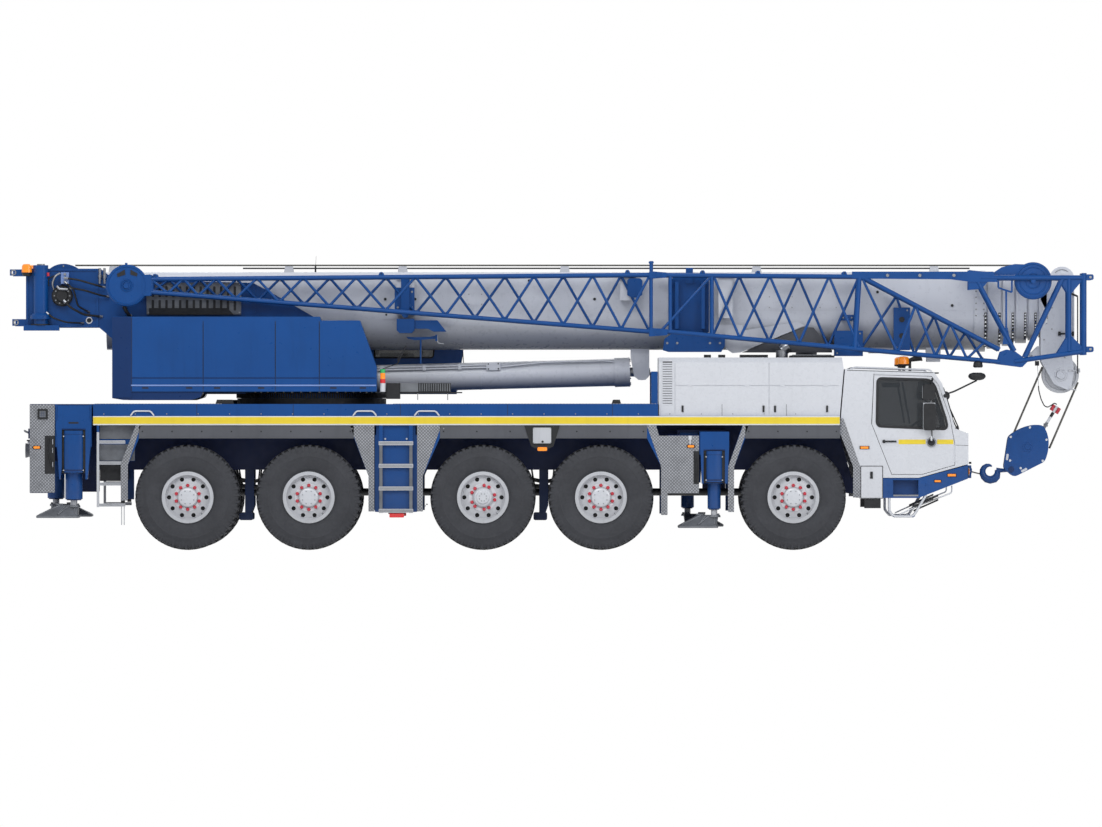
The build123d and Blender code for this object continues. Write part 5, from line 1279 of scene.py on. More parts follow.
boom.post(1.41, JIB_NEAR, 3.89, 4.02, 0.026, 0, 16)
boom.solid([(4.012, 0.036), (4.034, 0.036), (4.046, 0.024)], (1.41, JIB_NEAR, 0), 0, 20, "Z")
# middle rest and the large bolted plate
boom.prism([(1.078, 3.575), (1.078, 3.78), (1.11, 3.81), (1.26, 3.81), (1.29, 3.78), (1.29, 3.575),
            (1.23, 3.54), (1.14, 3.54)], (-0.69, -0.436))
PLATE = [(1.69, 3.06), (1.69, 3.79), (1.725, 3.825), (2.19, 3.825), (2.228, 3.79), (2.228, 3.06),
         (2.19, 3.025), (1.725, 3.025)]
boom.prism(PLATE, (-0.474, -0.4605))
boom.prism([(1.75, 3.1), (1.75, 3.76), (1.8, 3.76), (1.8, 3.1)], (-0.6345, -0.472))
boom.prism([(2.12, 3.1), (2.12, 3.76), (2.17, 3.76), (2.17, 3.1)], (-0.634, -0.47))
for bolt_x in (1.715, 1.85, 1.96, 2.07, 2.204):
    for bolt_z in (3.06, 3.42, 3.79):
        bolt(boom, bolt_x, -0.474, bolt_z, -1, 0.016, 0)
boom.prism([(1.903, 3.74), (1.903, 3.96), (2.003, 3.96), (2.003, 3.74)], (-0.52, -0.4))
boom.prism([(1.578, 2.8), (1.6, 2.96), (1.69, 3.025), (2.228, 3.025), (2.42, 3.025), (2.45, 2.96),
            (2.45, 2.86), (2.4, 2.775), (1.66, 2.775)], (-0.69, -0.475))
for bolt_x in (1.64, 1.78, 2.24, 2.38):
    bolt(boom, bolt_x, -0.69, 2.9, -1, 0.018, 3)
# light triangular plate below the middle; the dark grey sheet below it is painted shade on the belly
boom.prism([(2.45, 3.04), (2.45, 2.83), (2.56, 2.76), (2.682, 2.771), (3.575, 3.146), (3.48, 3.2)],
           (-0.478, -0.44), 2)
boom.prism([(2.69, 2.768), (3.56, 3.128), (3.7, 3.12), (3.96, 2.8), (3.96, 2.768)], (-0.462, -0.45), 8)
# boxes before the head
for low_x, high_x, low_z, high_z, low_y in (
    (3.986, 4.388, 2.718, 3.075, -0.7), (4.075, 4.272, 3.218, 3.298, -0.62), (4.82, 5.05, 2.8, 3.4, -0.69),
):
    boom.box((low_x, high_x), (low_y, -0.425), (low_z, high_z))
    bolt(boom, low_x + 0.04, low_y, low_z + 0.04, -1, 0.013, 3)
    bolt(boom, high_x - 0.04, low_y, high_z - 0.04, -1, 0.013, 3)
for hole_z in (3.0, 3.23):
    boom.pin(4.935, hole_z, -0.69, -0.693, 0.04, 1, 24)
    boom.lathe([(-0.69, 0.04), (-0.69, 0.052), (-0.7, 0.052), (-0.7, 0.04)], (4.935, 0, hole_z), 0, 28)
# work lamp under the chord
boom.post(5.985, -1.235, 2.665, 2.64, 0.016, 1, 12)
boom.solid([(2.555, 0.055), (2.57, 0.07), (2.625, 0.06), (2.645, 0.03)], (5.985, -1.235, 0), 1, 24, "Z")
boom.solid([(2.549, 0.05), (2.556, 0.052)], (5.985, -1.235, 0), 7, 24, "Z")
boom.piece("boom_fittings", "boom", "boom_grey", bevel=0.0015)
# the ropes' last stretch before the drum stays with the superstructure
lead = Kit(ROPE)
for rope_y in ROPE_ROWS:
    lead.rod(rope_y, 4.0, -6.7, -6.434, 0.011, 0, 10)
lead.piece("hoist_lead_ropes", "upper", "bare_steel")

# telescoping sections: number, front end
SECTIONS = [(1, 6.335), (2, 6.523), (3, 6.699), (4, 6.845), (5, 7.0)]

# ---------------- boom head
SHEAVE_X, SHEAVE_Z, SHEAVE_GAP = 7.186, 2.458, 0.074
TOP_X, TOP_Z = 7.21, 3.808
head = Kit(BOOM_GREY, STEEL, BLACK, ROPE, SILVER)
HEAD_Y = 0.262
for sign in (-1, 1):
    face = sign * HEAD_Y
    out = offsets(sign, HEAD_Y)
    for centre_x, centre_z, radius in ((SHEAVE_X, SHEAVE_Z, 0.064), (TOP_X, TOP_Z, 0.055)):
        head.solid(facing(sign, ((0.2905, radius), (0.3, radius - 0.004), (0.3, radius - 0.022),
                                 (0.296, radius - 0.026))), (centre_x, 0, centre_z), 0, 32)
        head.lathe(facing(sign, ((0.2622, radius), (0.2622, radius + 0.03), (0.27, radius + 0.028),
                                 (0.27, radius))), (centre_x, 0, centre_z), 0, 32)
    for bolt_x, bolt_z in ((7.323, 3.32), (7.323, 3.225), (7.24, 2.7), (7.06, 2.7), (7.06, 3.1),
                           (7.06, 3.4), (7.323, 2.9), (6.95, 2.95), (6.95, 3.3)):
        bolt(head, bolt_x, face, bolt_z, sign, 0.012, 2 if bolt_x > 7.3 else 1)
    head.box((7.165, 7.356), out(0, 0.03), (3.024, 3.046), 2)
    for knob_x in (7.165, 7.356):
        head.post(knob_x, face + sign * 0.018, 3.005, 3.065, 0.018, 2, 14)
    head.prism(oblong(7.359, 7.375, 2.8, 3.79), out(0, 0.024))
    # lever and locking pin of the rope guard
    head.bar((7.29, sign * 0.274, 2.512), (7.452, sign * 0.274, 2.519), 0.01, 4, 12)
    head.bar((7.44, sign * 0.274, 2.545), (7.448, sign * 0.274, 2.488), 0.013, 4, 12)
    head.pin(7.312, 2.512, sign * 0.262, sign * 0.29, 0.018, 4, 6)
    head.bar((7.3, sign * 0.272, 2.262), (7.405, sign * 0.272, 2.24), 0.008, 4, 10)
head.pin(7.318, 2.278, -0.275, 0.275, 0.016, 4, 14)
# small guide sheaves below the collars
for guide_y in (-0.111, -0.037, 0.037, 0.111):
    head.solid([(-0.018, 0.056), (-0.006, 0.044), (0.006, 0.044), (0.018, 0.056)], (6.778, guide_y, 2.722),
               0, 28)
head.pin(6.778, 2.722, -0.2, 0.2, 0.016, 1, 14)
for sign in (-1, 1):
    head.prism([(6.755, 2.7), (6.755, 2.75), (6.87, 2.86), (6.93, 2.86), (6.93, 2.74), (6.81, 2.69)],
               span(sign, 0.16, 0.176))
# rope down the front of the head
head.post(7.42, -0.31, 3.56, 2.47, 0.009, 2, 8)
head.bar((7.42, -0.31, 3.56), (7.33, -0.28, 3.6), 0.014, 2, 8)
head.box((6.826, 6.884), (-0.182, -0.12), (2.585, 2.65), 2)
head.bar((6.862, -0.15, 2.59), (6.875, -0.15, 2.3), 0.004, 4, 8)
head.piece("head_fittings", "telescope_5", "boom_grey", bevel=0.0015)

# ---------------- hook block
hook = Kit(BLUE, STEEL, BLACK, ROPE, SHADE_BLUE, RED, WHITE, CAST)
CHEEK = [(6.561, 1.67), (6.687, 1.726), (6.814, 1.754), (6.94, 1.747), (6.996, 1.649), (7.022, 1.523),
         (7.012, 1.38), (6.968, 1.235), (6.533, 1.015), (6.381, 1.137), (6.449, 1.593)]
CHEEK_Y = 0.165
for sign in (-1, 1):
    hook.prism(rounded(CHEEK, 0.05, 4), span(sign, 0.125, CHEEK_Y))
    face = sign * CHEEK_Y
    out = offsets(sign, CHEEK_Y)
    for bolt_x, bolt_z in ((6.484, 1.582), (6.755, 1.715), (6.988, 1.541), (6.934, 1.245), (6.474, 1.249),
                           (6.624, 1.14)):
        hook.pin(bolt_x, bolt_z, face, face + sign * 0.01, 0.017, 6, 16)
    hook.prism(rounded([(6.414, 1.253), (6.446, 1.253), (6.456, 1.343), (6.424, 1.343)], 0.015),
               out(0, 0.0012), 6)
    hook.prism(rounded([(6.624, 1.106), (6.64, 1.076), (6.722, 1.12), (6.706, 1.15)], 0.014),
               out(0, 0.0012), 6)
    hook.solid(facing(sign, ((0.1652, 0.072), (0.17, 0.07), (0.17, 0.056), (0.166, 0.054), (0.166, 0.04),
                             (0.174, 0.038))), (6.72, 0, 1.439), 0, 36)
    hook.solid(facing(sign, ((0.1652, 0.042), (0.176, 0.04))), (6.491, 0, 1.123), 4, 28)
hook.prism(grown(CHEEK, -0.03), (-0.125, 0.125), 4)
# the hook itself: distance along its bend as degrees round the bowl, half thickness
BOWL = (6.2, 1.096)
BEND = [(14, 0.03), (-10, 0.041), (-35, 0.052), (-60, 0.057), (-90, 0.056), (-115, 0.054), (-140, 0.05),
        (-165, 0.046), (-190, 0.042), (-215, 0.037), (-240, 0.03), (-262, 0.022), (-280, 0.015),
        (-292, 0.007)]
rings = []
for degrees_round, half in BEND:
    t = radians(degrees_round)
    away = 0.065 + half
    ring = []
    for a in np.linspace(0, 2 * pi, 18, endpoint=False):
        out_r = away + half * cos(a)
        ring.append((BOWL[0] + out_r * cos(t), (0.72 * half + 0.006) * sin(a), BOWL[1] + out_r * sin(t)))
    rings.append(ring)
hook.rings(rings, 0)
hook.bar((6.286, 0, 1.112), (6.38, 0, 1.108), 0.036, 0, 20, 0.028)
hook.bar((6.38, 0, 1.108), (6.5, 0, 1.12), 0.028, 0, 20)
# falls of rope up to the head's sheaves
LEAN = radians(23.4)
ROPE_LINE_R = 0.2735
fall_x, fall_z = -sin(LEAN), -cos(LEAN)
for index in range(4):
    y = (index - 1.5) * SHEAVE_GAP
    for turn, low_z in ((1, 1.6), (-1, 1.42)):
        top = (SHEAVE_X + turn * ROPE_LINE_R * fall_z, SHEAVE_Z - turn * ROPE_LINE_R * fall_x)
        drop = (top[1] - low_z) / -fall_z
        hook.bar((top[0], y, top[1]), (top[0] + drop * fall_x, y, low_z), 0.0105, 3, 10)
# rope socket, hoist switch weight and its cable, on a line that leans like the socket
SOCKET = Vector((6.968, -0.111, 1.733))
SLOPE = Vector((0.519, 0, 0.855))
ACROSS = Vector((0.855, 0, -0.519))
hook.bar(SOCKET - SLOPE * 0.03, SOCKET + SLOPE * 0.06, 0.026, 7, 6)
hook.bar(SOCKET + SLOPE * 0.05, SOCKET + SLOPE * 0.33, 0.021, 6, 16)
hook.bar(SOCKET + SLOPE * 0.155, SOCKET + SLOPE * 0.225, 0.0225, 2, 16)
hook.bar(SOCKET + SLOPE * 0.02 - ACROSS * 0.034, SOCKET + SLOPE * 0.02 + ACROSS * 0.034, 0.012, 1, 6)
for away in (-0.044, 0.044):
    foot = SOCKET + ACROSS * away
    hook.bar(foot + SLOPE * 0.235, foot + SLOPE * 0.325, 0.024, 5, 18)
    for step in range(5):
        hook.bar(foot + SLOPE * (0.24 + step * 0.018), foot + SLOPE * (0.249 + step * 0.018), 0.027, 5, 18)
hook.bar(SOCKET + SLOPE * 0.275 - ACROSS * 0.06, SOCKET + SLOPE * 0.275 + ACROSS * 0.06, 0.013, 1, 12)
path_bar(hook, [(6.875, -0.15, 2.3), (6.88, -0.15, 2.235), (6.912, -0.15, 2.11), (6.958, -0.15, 2.018),
                (7.005, -0.15, 1.998), (7.06, -0.145, 2.03), (7.098, -0.13, 2.058), (7.135, -0.115, 2.04)],
         0.008, 2, 10)
hook_piece = hook.piece("hook_and_falls", "hook", "blue", bevel=0.002)
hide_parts("hook_block")

sling = Kit(ROPE, BLUE, STEEL, BLACK)
path_bar(sling, at_y(0, [(5.92, 1.095), (6.02, 1.068), (6.15, 1.045)]), 0.01, 0, 10)
sling.box((5.85, 5.88), (-0.09, 0.09), (0.996, 1.206), 1)
for plate_y in (-0.045, 0.035):
    sling.prism(rounded([(5.878, 1.15), (5.935, 1.15), (5.945, 1.12), (5.935, 1.05), (5.878, 1.04)], 0.02),
                (plate_y, plate_y + 0.012), 1)
sling.pin(5.918, 1.095, -0.06, 0.06, 0.014, 2, 14)
sling.post(5.918, 0, 1.2, 1.23, 0.018, 3, 12)
sling.piece("tow_bracket_sling", "carrier", "blue", bevel=0.002)

# ---------------- collars of the telescope
BOOM_BEND = 3.238
# body, half width at the collar, front end, strip width
COLLARS = [("boom", 0.456, 6.136, 0.036)]
COLLARS += [(f"telescope_{n}", 0.43 - 0.04 * n + 0.026, front, 0.034) for n, front in SECTIONS]


def flank(half, z, out=0.0):
    """How far the boom's skin stands from its middle at a height."""
    if z >= BOOM_BEND:
        return half + out
    return max(0.0, (half + out) ** 2 - (BOOM_BEND - z) ** 2) ** 0.5


for body, half, front, wide in COLLARS:
    strip = Kit(BLACK, CHROME, BOOM_GREY)
    low_z = BOOM_BEND - half * 0.86
    for sign in (-1, 1):
        # dark wear strip that follows the skin round the belly, with its bright screws
        inner, outer = [], []
        for z in np.linspace(3.33, low_z, 16):
            inner.append((sign * flank(half, z, 0.0006), z))
            outer.append((sign * flank(half, z, 0.006), z))
        for (y0, z0), (y1, z1), (y2, z2), (y3, z3) in zip(inner, inner[1:], outer[1:], outer):
            strip.rings([[(x, y0, z0), (x, y1, z1), (x, y2, z2), (x, y3, z3)]
                         for x in (front - wide, front - 0.001)], 0)
        for z in np.linspace(3.305, low_z + 0.03, 9):
            y = flank(half, z, 0.006)
            way = Vector((0, sign, 0))
            if z < BOOM_BEND:
                way = Vector((0, sign * y, z - BOOM_BEND)).normalized()
            spot = Vector((front - wide / 2, sign * y, z))
            strip.bar(spot - way * 0.002, spot + way * 0.009, 0.0125, 1, 12)
        # slanting stiffener above the strip
        top = min(3.88, 3.905 - (0.456 - half))
        strip.prism([(front - 0.012, 3.335), (front - 0.12, 3.56), (front - 0.012, top - 0.1)],
                    sorted((sign * (half + PROUD), sign * (half + 0.006))), 2)
    strip.piece(f"collar_strip_{body}", body, "dark_metal")

# ---------------- side panels behind and ahead of the stands
panels = Kit(CHEQUER, BLACK, CLEAR_LENS, AMBER, CAST, SILVER, BLUE, WHITE, SHADE_BLUE)
# middles of the two stand boxes
REAR_MIDDLE, FRONT_MIDDLE = -6.847, 2.118
REAR = [(-7.288, 0.806), (-6.936, 0.806), (-6.936, 1.066), (-7.077, 1.066), (-7.077, 1.6), (-6.936, 1.6),
        (-6.936, 2.036), (-7.288, 2.036)]
AHEAD = [(1.479, 1.6), (2.078, 1.6), (2.078, 1.384), (2.0, 1.384), (2.0, 0.923), (2.078, 0.923),
         (2.078, 0.795), (1.638, 0.795), (1.638, 1.162)]
AHEAD_LEFT = [(2.483, 1.6), (2.158, 1.6), (2.158, 1.384), (2.236, 1.384), (2.236, 0.923), (2.158, 0.923),
              (2.158, 0.795), (2.44, 0.795), (2.483, 1.0)]
# the stands of the two sides sit either side of each box's middle, so the panels are turned about it
for sign in (-1, 1):
    def at(x, middle):
        """An x of the right side, turned about a middle on the left side."""
        return x if sign < 0 else 2 * middle - x

    rear_plate = [(at(x, REAR_MIDDLE), z) for x, z in REAR]
    front_plate = AHEAD if sign < 0 else AHEAD_LEFT
    for outline, low, high in ((rear_plate, 1.058, 1.608), (front_plate, 0.915, 1.392)):
        panels.prism(outline, span(sign, 1.3405, 1.3465))
        panels.box(sorted((outline[3][0], outline[1][0])), span(sign, 1.3405, 1.3425), (low, high), 1)
    # square lamp in its black frame
    lamp = at(-7.106, REAR_MIDDLE)
    panels.prism(soft_box(lamp - 0.071, lamp + 0.071, 1.832, 1.974, 0.01), span(sign, 1.3465, 1.362), 1)
    panels.prism(soft_box(lamp - 0.044, lamp + 0.044, 1.858, 1.948, 0.008), span(sign, 1.362, 1.3665), 4)
    for step in range(1, 3):
        line = 1.856 + step * 0.03
        panels.box(about(lamp, 0.044), span(sign, 1.3665, 1.3675), (line, line + 0.003), 8)
        line = lamp - 0.045 + step * 0.03
        panels.box((line, line + 0.003), span(sign, 1.3665, 1.3675), (1.858, 1.948), 8)
    # amber marker lamps
    for lamp_x, lamp_z in ((at(-7.189, REAR_MIDDLE), 1.436), (at(1.965, FRONT_MIDDLE), 1.452)):
        panels.prism(soft_box(lamp_x - 0.062, lamp_x + 0.062, lamp_z - 0.024, lamp_z + 0.024, 0.022),
                     span(sign, 1.3465, 1.352), 1)
        panels.prism(soft_box(lamp_x - 0.045, lamp_x + 0.045, lamp_z - 0.017, lamp_z + 0.017, 0.016),
                     span(sign, 1.352, 1.366), 3)
    # upright stick lamp and small fittings in the recesses
    stick = at(1.953, FRONT_MIDDLE)
    panels.box(about(stick, 0.009), span(sign, 1.3465, 1.36), (1.48, 1.6), 7)
    panels.box(about(stick, 0.022), span(sign, 1.3465, 1.362), (1.545, 1.6), 7)
    knob = at(-6.965, REAR_MIDDLE)
    for knob_z, size in ((1.52, 0.005), (1.4, 0.004), (1.2, 0.005)):
        panels.bar((knob, sign * 1.35, knob_z - 0.04), (knob, sign * 1.364, knob_z + 0.03), size, 5, 10)
    for middle, points in ((REAR_MIDDLE, [(-7.02, 1.56), (-7.035, 1.4), (-7.0, 1.25), (-6.96, 1.12)]),
                           (FRONT_MIDDLE, [(2.02, 1.35), (2.035, 1.24), (2.05, 1.1), (2.03, 0.96)])):
        path_bar(panels, [(at(x, middle), sign * 1.352, z) for x, z in points], 0.009, 1, 8)
panels.piece("side_panels", "carrier", "chequer_plate", bevel=0.0012)

# ---------------- stand housings, sleeves and pads
STANDS = [("rear", "right", -6.674, -1), ("rear", "left", -7.02, 1), ("front", "right", 2.291, -1),
          ("front", "left", 1.945, 1)]
for end, hand, x, sign in STANDS:
    shell = Kit(BLUE, BLACK, SHADE_BLUE, SILVER, HOSE)
    face = sign * 1.345

    def skin(outline, low, high, look=0):
        shell.prism([(x + dx, z) for dx, z in outline], span(sign, low, high), look)

    if end == "rear":
        skin(soft_box(-0.163, 0.168, 1.075, 1.69, 0.02), 1.3455, 1.3465, 1)
        skin([(-0.22, 2.036), (0.222, 2.036), (0.222, 1.85), (0.246, 1.75), (0.244, 1.56), (0.196, 0.99),
              (0.168, 0.99), (0.168, 1.69), (-0.163, 1.69), (-0.163, 1.16), (-0.185, 0.99), (-0.2, 0.99),
              (-0.23, 1.6), (-0.25, 1.745), (-0.222, 1.85)], 1.3455, 1.372)
        skin(oblong(-0.215, 0.217, 2.042, 2.026), 1.34, 1.376, 2)
        skin(soft_box(-0.07, 0.072, 1.768, 1.792, 0.01), 1.372, 1.3725, 1)
        skin(oblong(-0.163, 0.168, 1.7, 1.684), 1.35, 1.378, 2)
        for outline in ([(-0.235, 1.442), (-0.2, 0.99), (-0.185, 0.99), (-0.172, 1.442)],
                        [(0.172, 1.442), (0.178, 0.99), (0.196, 0.99), (0.24, 1.442)]):
            skin(outline, 1.09, 1.3455)
        barrel_r, low_z, high_z, edge_z = 0.133, 1.085, 1.672, 1.105
    else:
        skin(soft_box(-0.15, 0.15, 0.94, 1.4, 0.02), 1.3455, 1.3465, 1)
        skin([(-0.193, 1.655), (0.209, 1.655), (0.209, 1.45), (0.185, 0.93), (0.15, 0.93), (0.15, 1.4),
              (-0.15, 1.4), (-0.15, 0.93), (-0.175, 0.93), (-0.193, 1.45)], 1.3455, 1.368)
        skin(oblong(-0.15, 0.15, 1.408, 1.394), 1.35, 1.374, 2)
        for outline in ([(-0.19, 1.335), (-0.175, 0.93), (-0.156, 0.93), (-0.156, 1.335)],
                        [(0.156, 1.335), (0.156, 0.93), (0.185, 0.93), (0.2, 1.335)]):
            skin(outline, 1.09, 1.3455)
        barrel_r, low_z, high_z, edge_z = 0.11, 0.95, 1.385, 0.968
    # shallow bulge of the barrel that shows between the cheeks, with its edge ring and its band:
    # low and high edge, radius, how far it bulges, look
    band_r, band_z = barrel_r + 0.006, high_z - 0.055
    for low, high, radius, bulge, look in (
        (low_z, high_z, barrel_r, 0.06, 0), (edge_z, edge_z + 0.022, band_r, 0.064, 2),
        (band_z, band_z + 0.006, band_r, 0.0615, 2),
    ):
        curve = [(x + radius * sin(a), sign * (1.3468 + bulge * cos(a)))
                 for a in np.linspace(-pi / 2, pi / 2, 17)]
        shell.rings([[(bx, by, bz) for bx, by in curve] for bz in (low, high)], look)
    for side_dx in (-barrel_r - 0.004, barrel_r + 0.004):
        for bolt_z in (edge_z + 0.011, high_z - 0.08):
            shell.pin(x + side_dx, bolt_z, face, face + sign * 0.03, 0.01, 3, 6)
    path_bar(shell, [(x - barrel_r - 0.02, face + sign * 0.008, high_z - 0.03),
                     (x - barrel_r - 0.024, face + sign * 0.012, 1.3),
                     (x - barrel_r - 0.016, face + sign * 0.01, low_z + 0.02)], 0.008, 4, 8)
    shell.piece(f"stand_housing_{end}_{hand}", f"outrigger_{end}_{hand}", "blue", bevel=0.002)

# jack tubes, foot rods and stowed pads
# end: tube's low z and radius, its top, rod radius, pad's low z and half length
JACKS = {"rear": (0.707, 0.122, 1.98, 0.048, 0.448, 0.3),
         "front": (0.575, 0.092, 1.598, 0.044, 0.308, 0.282)}
for end, hand, x, sign in STANDS:
    tube_z, tube_r, top_z, rod_r, pad_z, pad_half = JACKS[end]
    jack = Kit(BLUE, SILVER, CAST, SHADE_BLUE, BLACK)
    y = sign * 1.195
    jack.lathe([(tube_z, 0.03), (tube_z, tube_r - 0.008), (tube_z + 0.008, tube_r), (top_z, tube_r),
                (top_z, 0.03)], (x, y, 0), 0, 48, "Z")
    jack.lathe([(tube_z - 0.012, 0.03), (tube_z - 0.012, tube_r - 0.022), (tube_z + 0.001, tube_r - 0.018),
                (tube_z + 0.001, 0.03)], (x, y, 0), 3, 40, "Z")
    jack.post(x, y, pad_z + 0.12, tube_z + 0.01, rod_r, 1, 32)
    # pad: a flat dished plate with a crown, ribs, a socket and a carrying handle
    pad_x, pad_y, crown_x = x + sign * 0.225, sign * 1.06, x + sign * 0.09
    levels = [(0.0, pad_half - 0.012, 0.278, 0.05), (0.006, pad_half, 0.29, 0.05),
              (0.03, pad_half, 0.29, 0.05), (0.042, pad_half - 0.016, 0.272, 0.05),
              (0.176, 0.15, 0.186, 0.03), (0.182, 0.14, 0.176, 0.03)]
    rings = []
    for up, half_x, half_y, corner in levels:
        shift = 0 if up < 0.05 else crown_x - pad_x
        outline = rounded(oblong(-half_x, half_x, -half_y, half_y), corner, 4)
        rings.append([(pad_x + shift + dx, pad_y + dy, pad_z + up) for dx, dy in outline])
    jack.rings(rings, 2)
    for dx0 in (-pad_half + 0.03, pad_half - 0.03):
        low = (pad_x + dx0 * 0.92, pad_y + sign * 0.262, pad_z + 0.05)
        high = (crown_x + (0.1 if dx0 > 0 else -0.1), pad_y + sign * 0.182, pad_z + 0.176)
        jack.bar(low, high, 0.011, 2, 8)
        jack.bar((pad_x, pad_y + sign * 0.276, pad_z + 0.048),
                 (crown_x + dx0 * 0.1, pad_y + sign * 0.184, pad_z + 0.176), 0.01, 2, 8)
    jack.lathe([(pad_z + 0.15, 0.052), (pad_z + 0.15, 0.092), (pad_z + 0.182, 0.086),
                (pad_z + 0.182, 0.052)], (x, y, 0), 2, 32, "Z")
    for reach in (-1, 1):
        bar_y = pad_y + sign * 0.15
        end_x = crown_x + reach * 0.165
        jack.rod(bar_y, pad_z + 0.19, crown_x + reach * 0.06, end_x, 0.013, 2, 12)
    jack_piece = jack.piece(f"stand_{end}_{hand}", f"support_jack_{end}_{hand}", "pad_grey", bevel=0.0015)
    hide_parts(f"jack_{end}_{hand}")

# ---------------- ladders
steps = Kit(SILVER, CAST, BLACK, BLUE, RED_LENS, CHEQUER, SHADE_BLUE)
for sign in (-1, 1):
    # rear ladder, with the lockers behind it and the two rods of its folding step
    steps.box((-6.35, -6.315), span(sign, 1.2895, 1.339), (0.6, 1.65))
    for rung_z in (0.63, 0.924, 1.218, 1.512):
        steps.prism(soft_box(-6.33, -5.95, rung_z - 0.022, rung_z + 0.022, 0.006), span(sign, 1.296, 1.336))
        for groove in (-0.009, 0.009):
            steps.box((-6.315, -5.95), span(sign, 1.336, 1.3372),
                      (rung_z + groove - 0.003, rung_z + groove + 0.003), 1)
    for low_z, high_z in ((1.25, 1.48), (1.555, 1.74)):
        steps.prism(soft_box(-6.312, -5.822, low_z, high_z, 0.012), span(sign, 1.2004, 1.212), 1)
    steps.box((-6.31, -5.99), span(sign, 1.19, 1.2), (0.965, 1.19), 2)
    if sign < 0:
        for rod_x in (-6.002, -5.966):
            steps.post(rod_x, sign * 1.318, 0.35, 0.68, 0.007, 0, 10)
    steps.box((-6.012, -5.955), span(sign, 1.306, 1.33), (0.655, 0.7), 2)

    # middle ladder
    steps.box((-2.46, -1.866), span(sign, 1.29, 1.293), (0.534, 1.61), 3)
    for rail_x in (-2.373, -1.953):
        steps.box(about(rail_x, 0.0275), span(sign, 1.289, 1.3385), (0.519, 1.52), 1)
        steps.box((rail_x - 0.0285, rail_x - 0.022), span(sign, 1.3385, 1.342), (0.519, 1.52), 6)
        steps.box((rail_x + 0.022, rail_x + 0.0285), span(sign, 1.3385, 1.342), (0.519, 1.52), 6)
        bolt(steps, rail_x + (0.06 if rail_x < -2.1 else -0.06), sign * 1.293, 1.556, sign, 0.014, 0)
    for rung_z in (0.549, 0.862, 1.179, 1.495):
        steps.prism(soft_box(-2.404, -1.922, rung_z - 0.027, rung_z + 0.027, 0.008),
                    span(sign, 1.3, 1.3445))
        for groove in (-0.012, 0, 0.012):
            steps.box((-2.396, -1.93), span(sign, 1.3445, 1.3457),
                      (rung_z + groove - 0.0028, rung_z + groove + 0.0028), 1)
    steps.prism(soft_box(-2.255, -2.05, 0.455, 0.512, 0.012), span(sign, 1.27, 1.33), 4)
    steps.box((-2.27, -2.035), span(sign, 1.262, 1.31), (0.505, 0.53), 2)
steps.piece("ladder_steps", "carrier", "dark_metal", bevel=0.0012)

# ---------------- innermost section and the boom head
def boom_outline(x, inset):
    """The boom's cross section at x, drawn in by the inset, as the telescoping sections have it."""
    half, top, corner = 0.43 - inset, 3.9 - inset, 0.09 - 0.3 * inset
    points = [(x, (half - corner) + corner * sin(a), top - corner + corner * cos(a))
              for a in np.linspace(0, pi / 2, 5)]
    points += [(x, half * cos(a), BOOM_BEND - half * sin(a)) for a in np.linspace(0, pi, 29)]
    points += [(x, -(half - corner) - corner * cos(a), top - corner + corner * sin(a))
               for a in np.linspace(0, pi / 2, 5)]
    return points


tip = Kit(BOOM_GREY, SILVER, BLACK, STEEL)
tip.rings([boom_outline(6.97, 0.212), boom_outline(-5.08, 0.212), boom_outline(-5.08, 0.2),
           boom_outline(6.88, 0.2), boom_outline(6.88, 0.174), boom_outline(7.0, 0.174)], 0, caps=True)
HEAD_PLATE = [(6.9, 3.64), (6.96, 3.88), (7.3, 3.906), (7.375, 3.8), (7.375, 2.8), (7.342, 2.709),
              (7.368, 2.56), (7.366, 2.47), (7.328, 2.262), (7.291, 2.239), (7.087, 2.323), (6.912, 2.638),
              (6.9, 2.8)]
for sign in (-1, 1):
    tip.prism(HEAD_PLATE, span(sign, 0.228, 0.262))
tip.box((6.99, 7.04), (-0.229, 0.229), (2.79, 3.7))
tip.box((7.04, 7.34), (-0.229, 0.229), (2.86, 2.9))
for centre_x, centre_z, radius, count, look in ((SHEAVE_X, SHEAVE_Z, 0.261, 4, 1),
                                                (TOP_X, TOP_Z, 0.175, 2, 0)):
    tip.pin(centre_x, centre_z, -0.29, 0.29, 0.055, 3, 32)
    for index in range(count):
        y = (index - (count - 1) / 2) * SHEAVE_GAP
        tip.lathe([(-0.023, 0.055), (-0.023, 0.1), (-0.007, 0.11), (-0.007, radius - 0.05),
                   (-0.023, radius - 0.04), (-0.023, radius - 0.002), (-0.012, radius),
                   (0.0, radius - 0.014), (0.012, radius), (0.023, radius - 0.002), (0.023, radius - 0.04),
                   (0.007, radius - 0.05), (0.007, 0.11), (0.023, 0.1), (0.023, 0.055)],
                  (centre_x, y, centre_z), look, 64)
tip_piece = tip.piece("boom_tip", "telescope_5", "boom_grey", bevel=0.0015)
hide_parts("boom_section_5")

# ---------------- crane cab: glass, seals, seat and controls
PANE = [(-2.49, 2.7), (-2.49, 3.45), (-1.85, 3.45), (-1.7, 3.37), (-1.64, 2.9), (-1.66, 2.7)]
CAB_INSIDE = (0.655, 1.317)
cab = Kit(GLASS)
cab.prism(PANE, (0.616, 0.622))
cab.box((-2.862, -2.856), CAB_INSIDE, (2.795, 3.455))
cab.box((-2.5, -1.8), CAB_INSIDE, (3.627, 3.633))
cab.prism([(-1.393, 3.392), (-1.244, 2.898), (-1.3, 2.5), (-1.307, 2.5), (-1.251, 2.898), (-1.4, 3.392)],
          CAB_INSIDE)
cab.piece("crane_cab_glass", "upper", "window_glass")

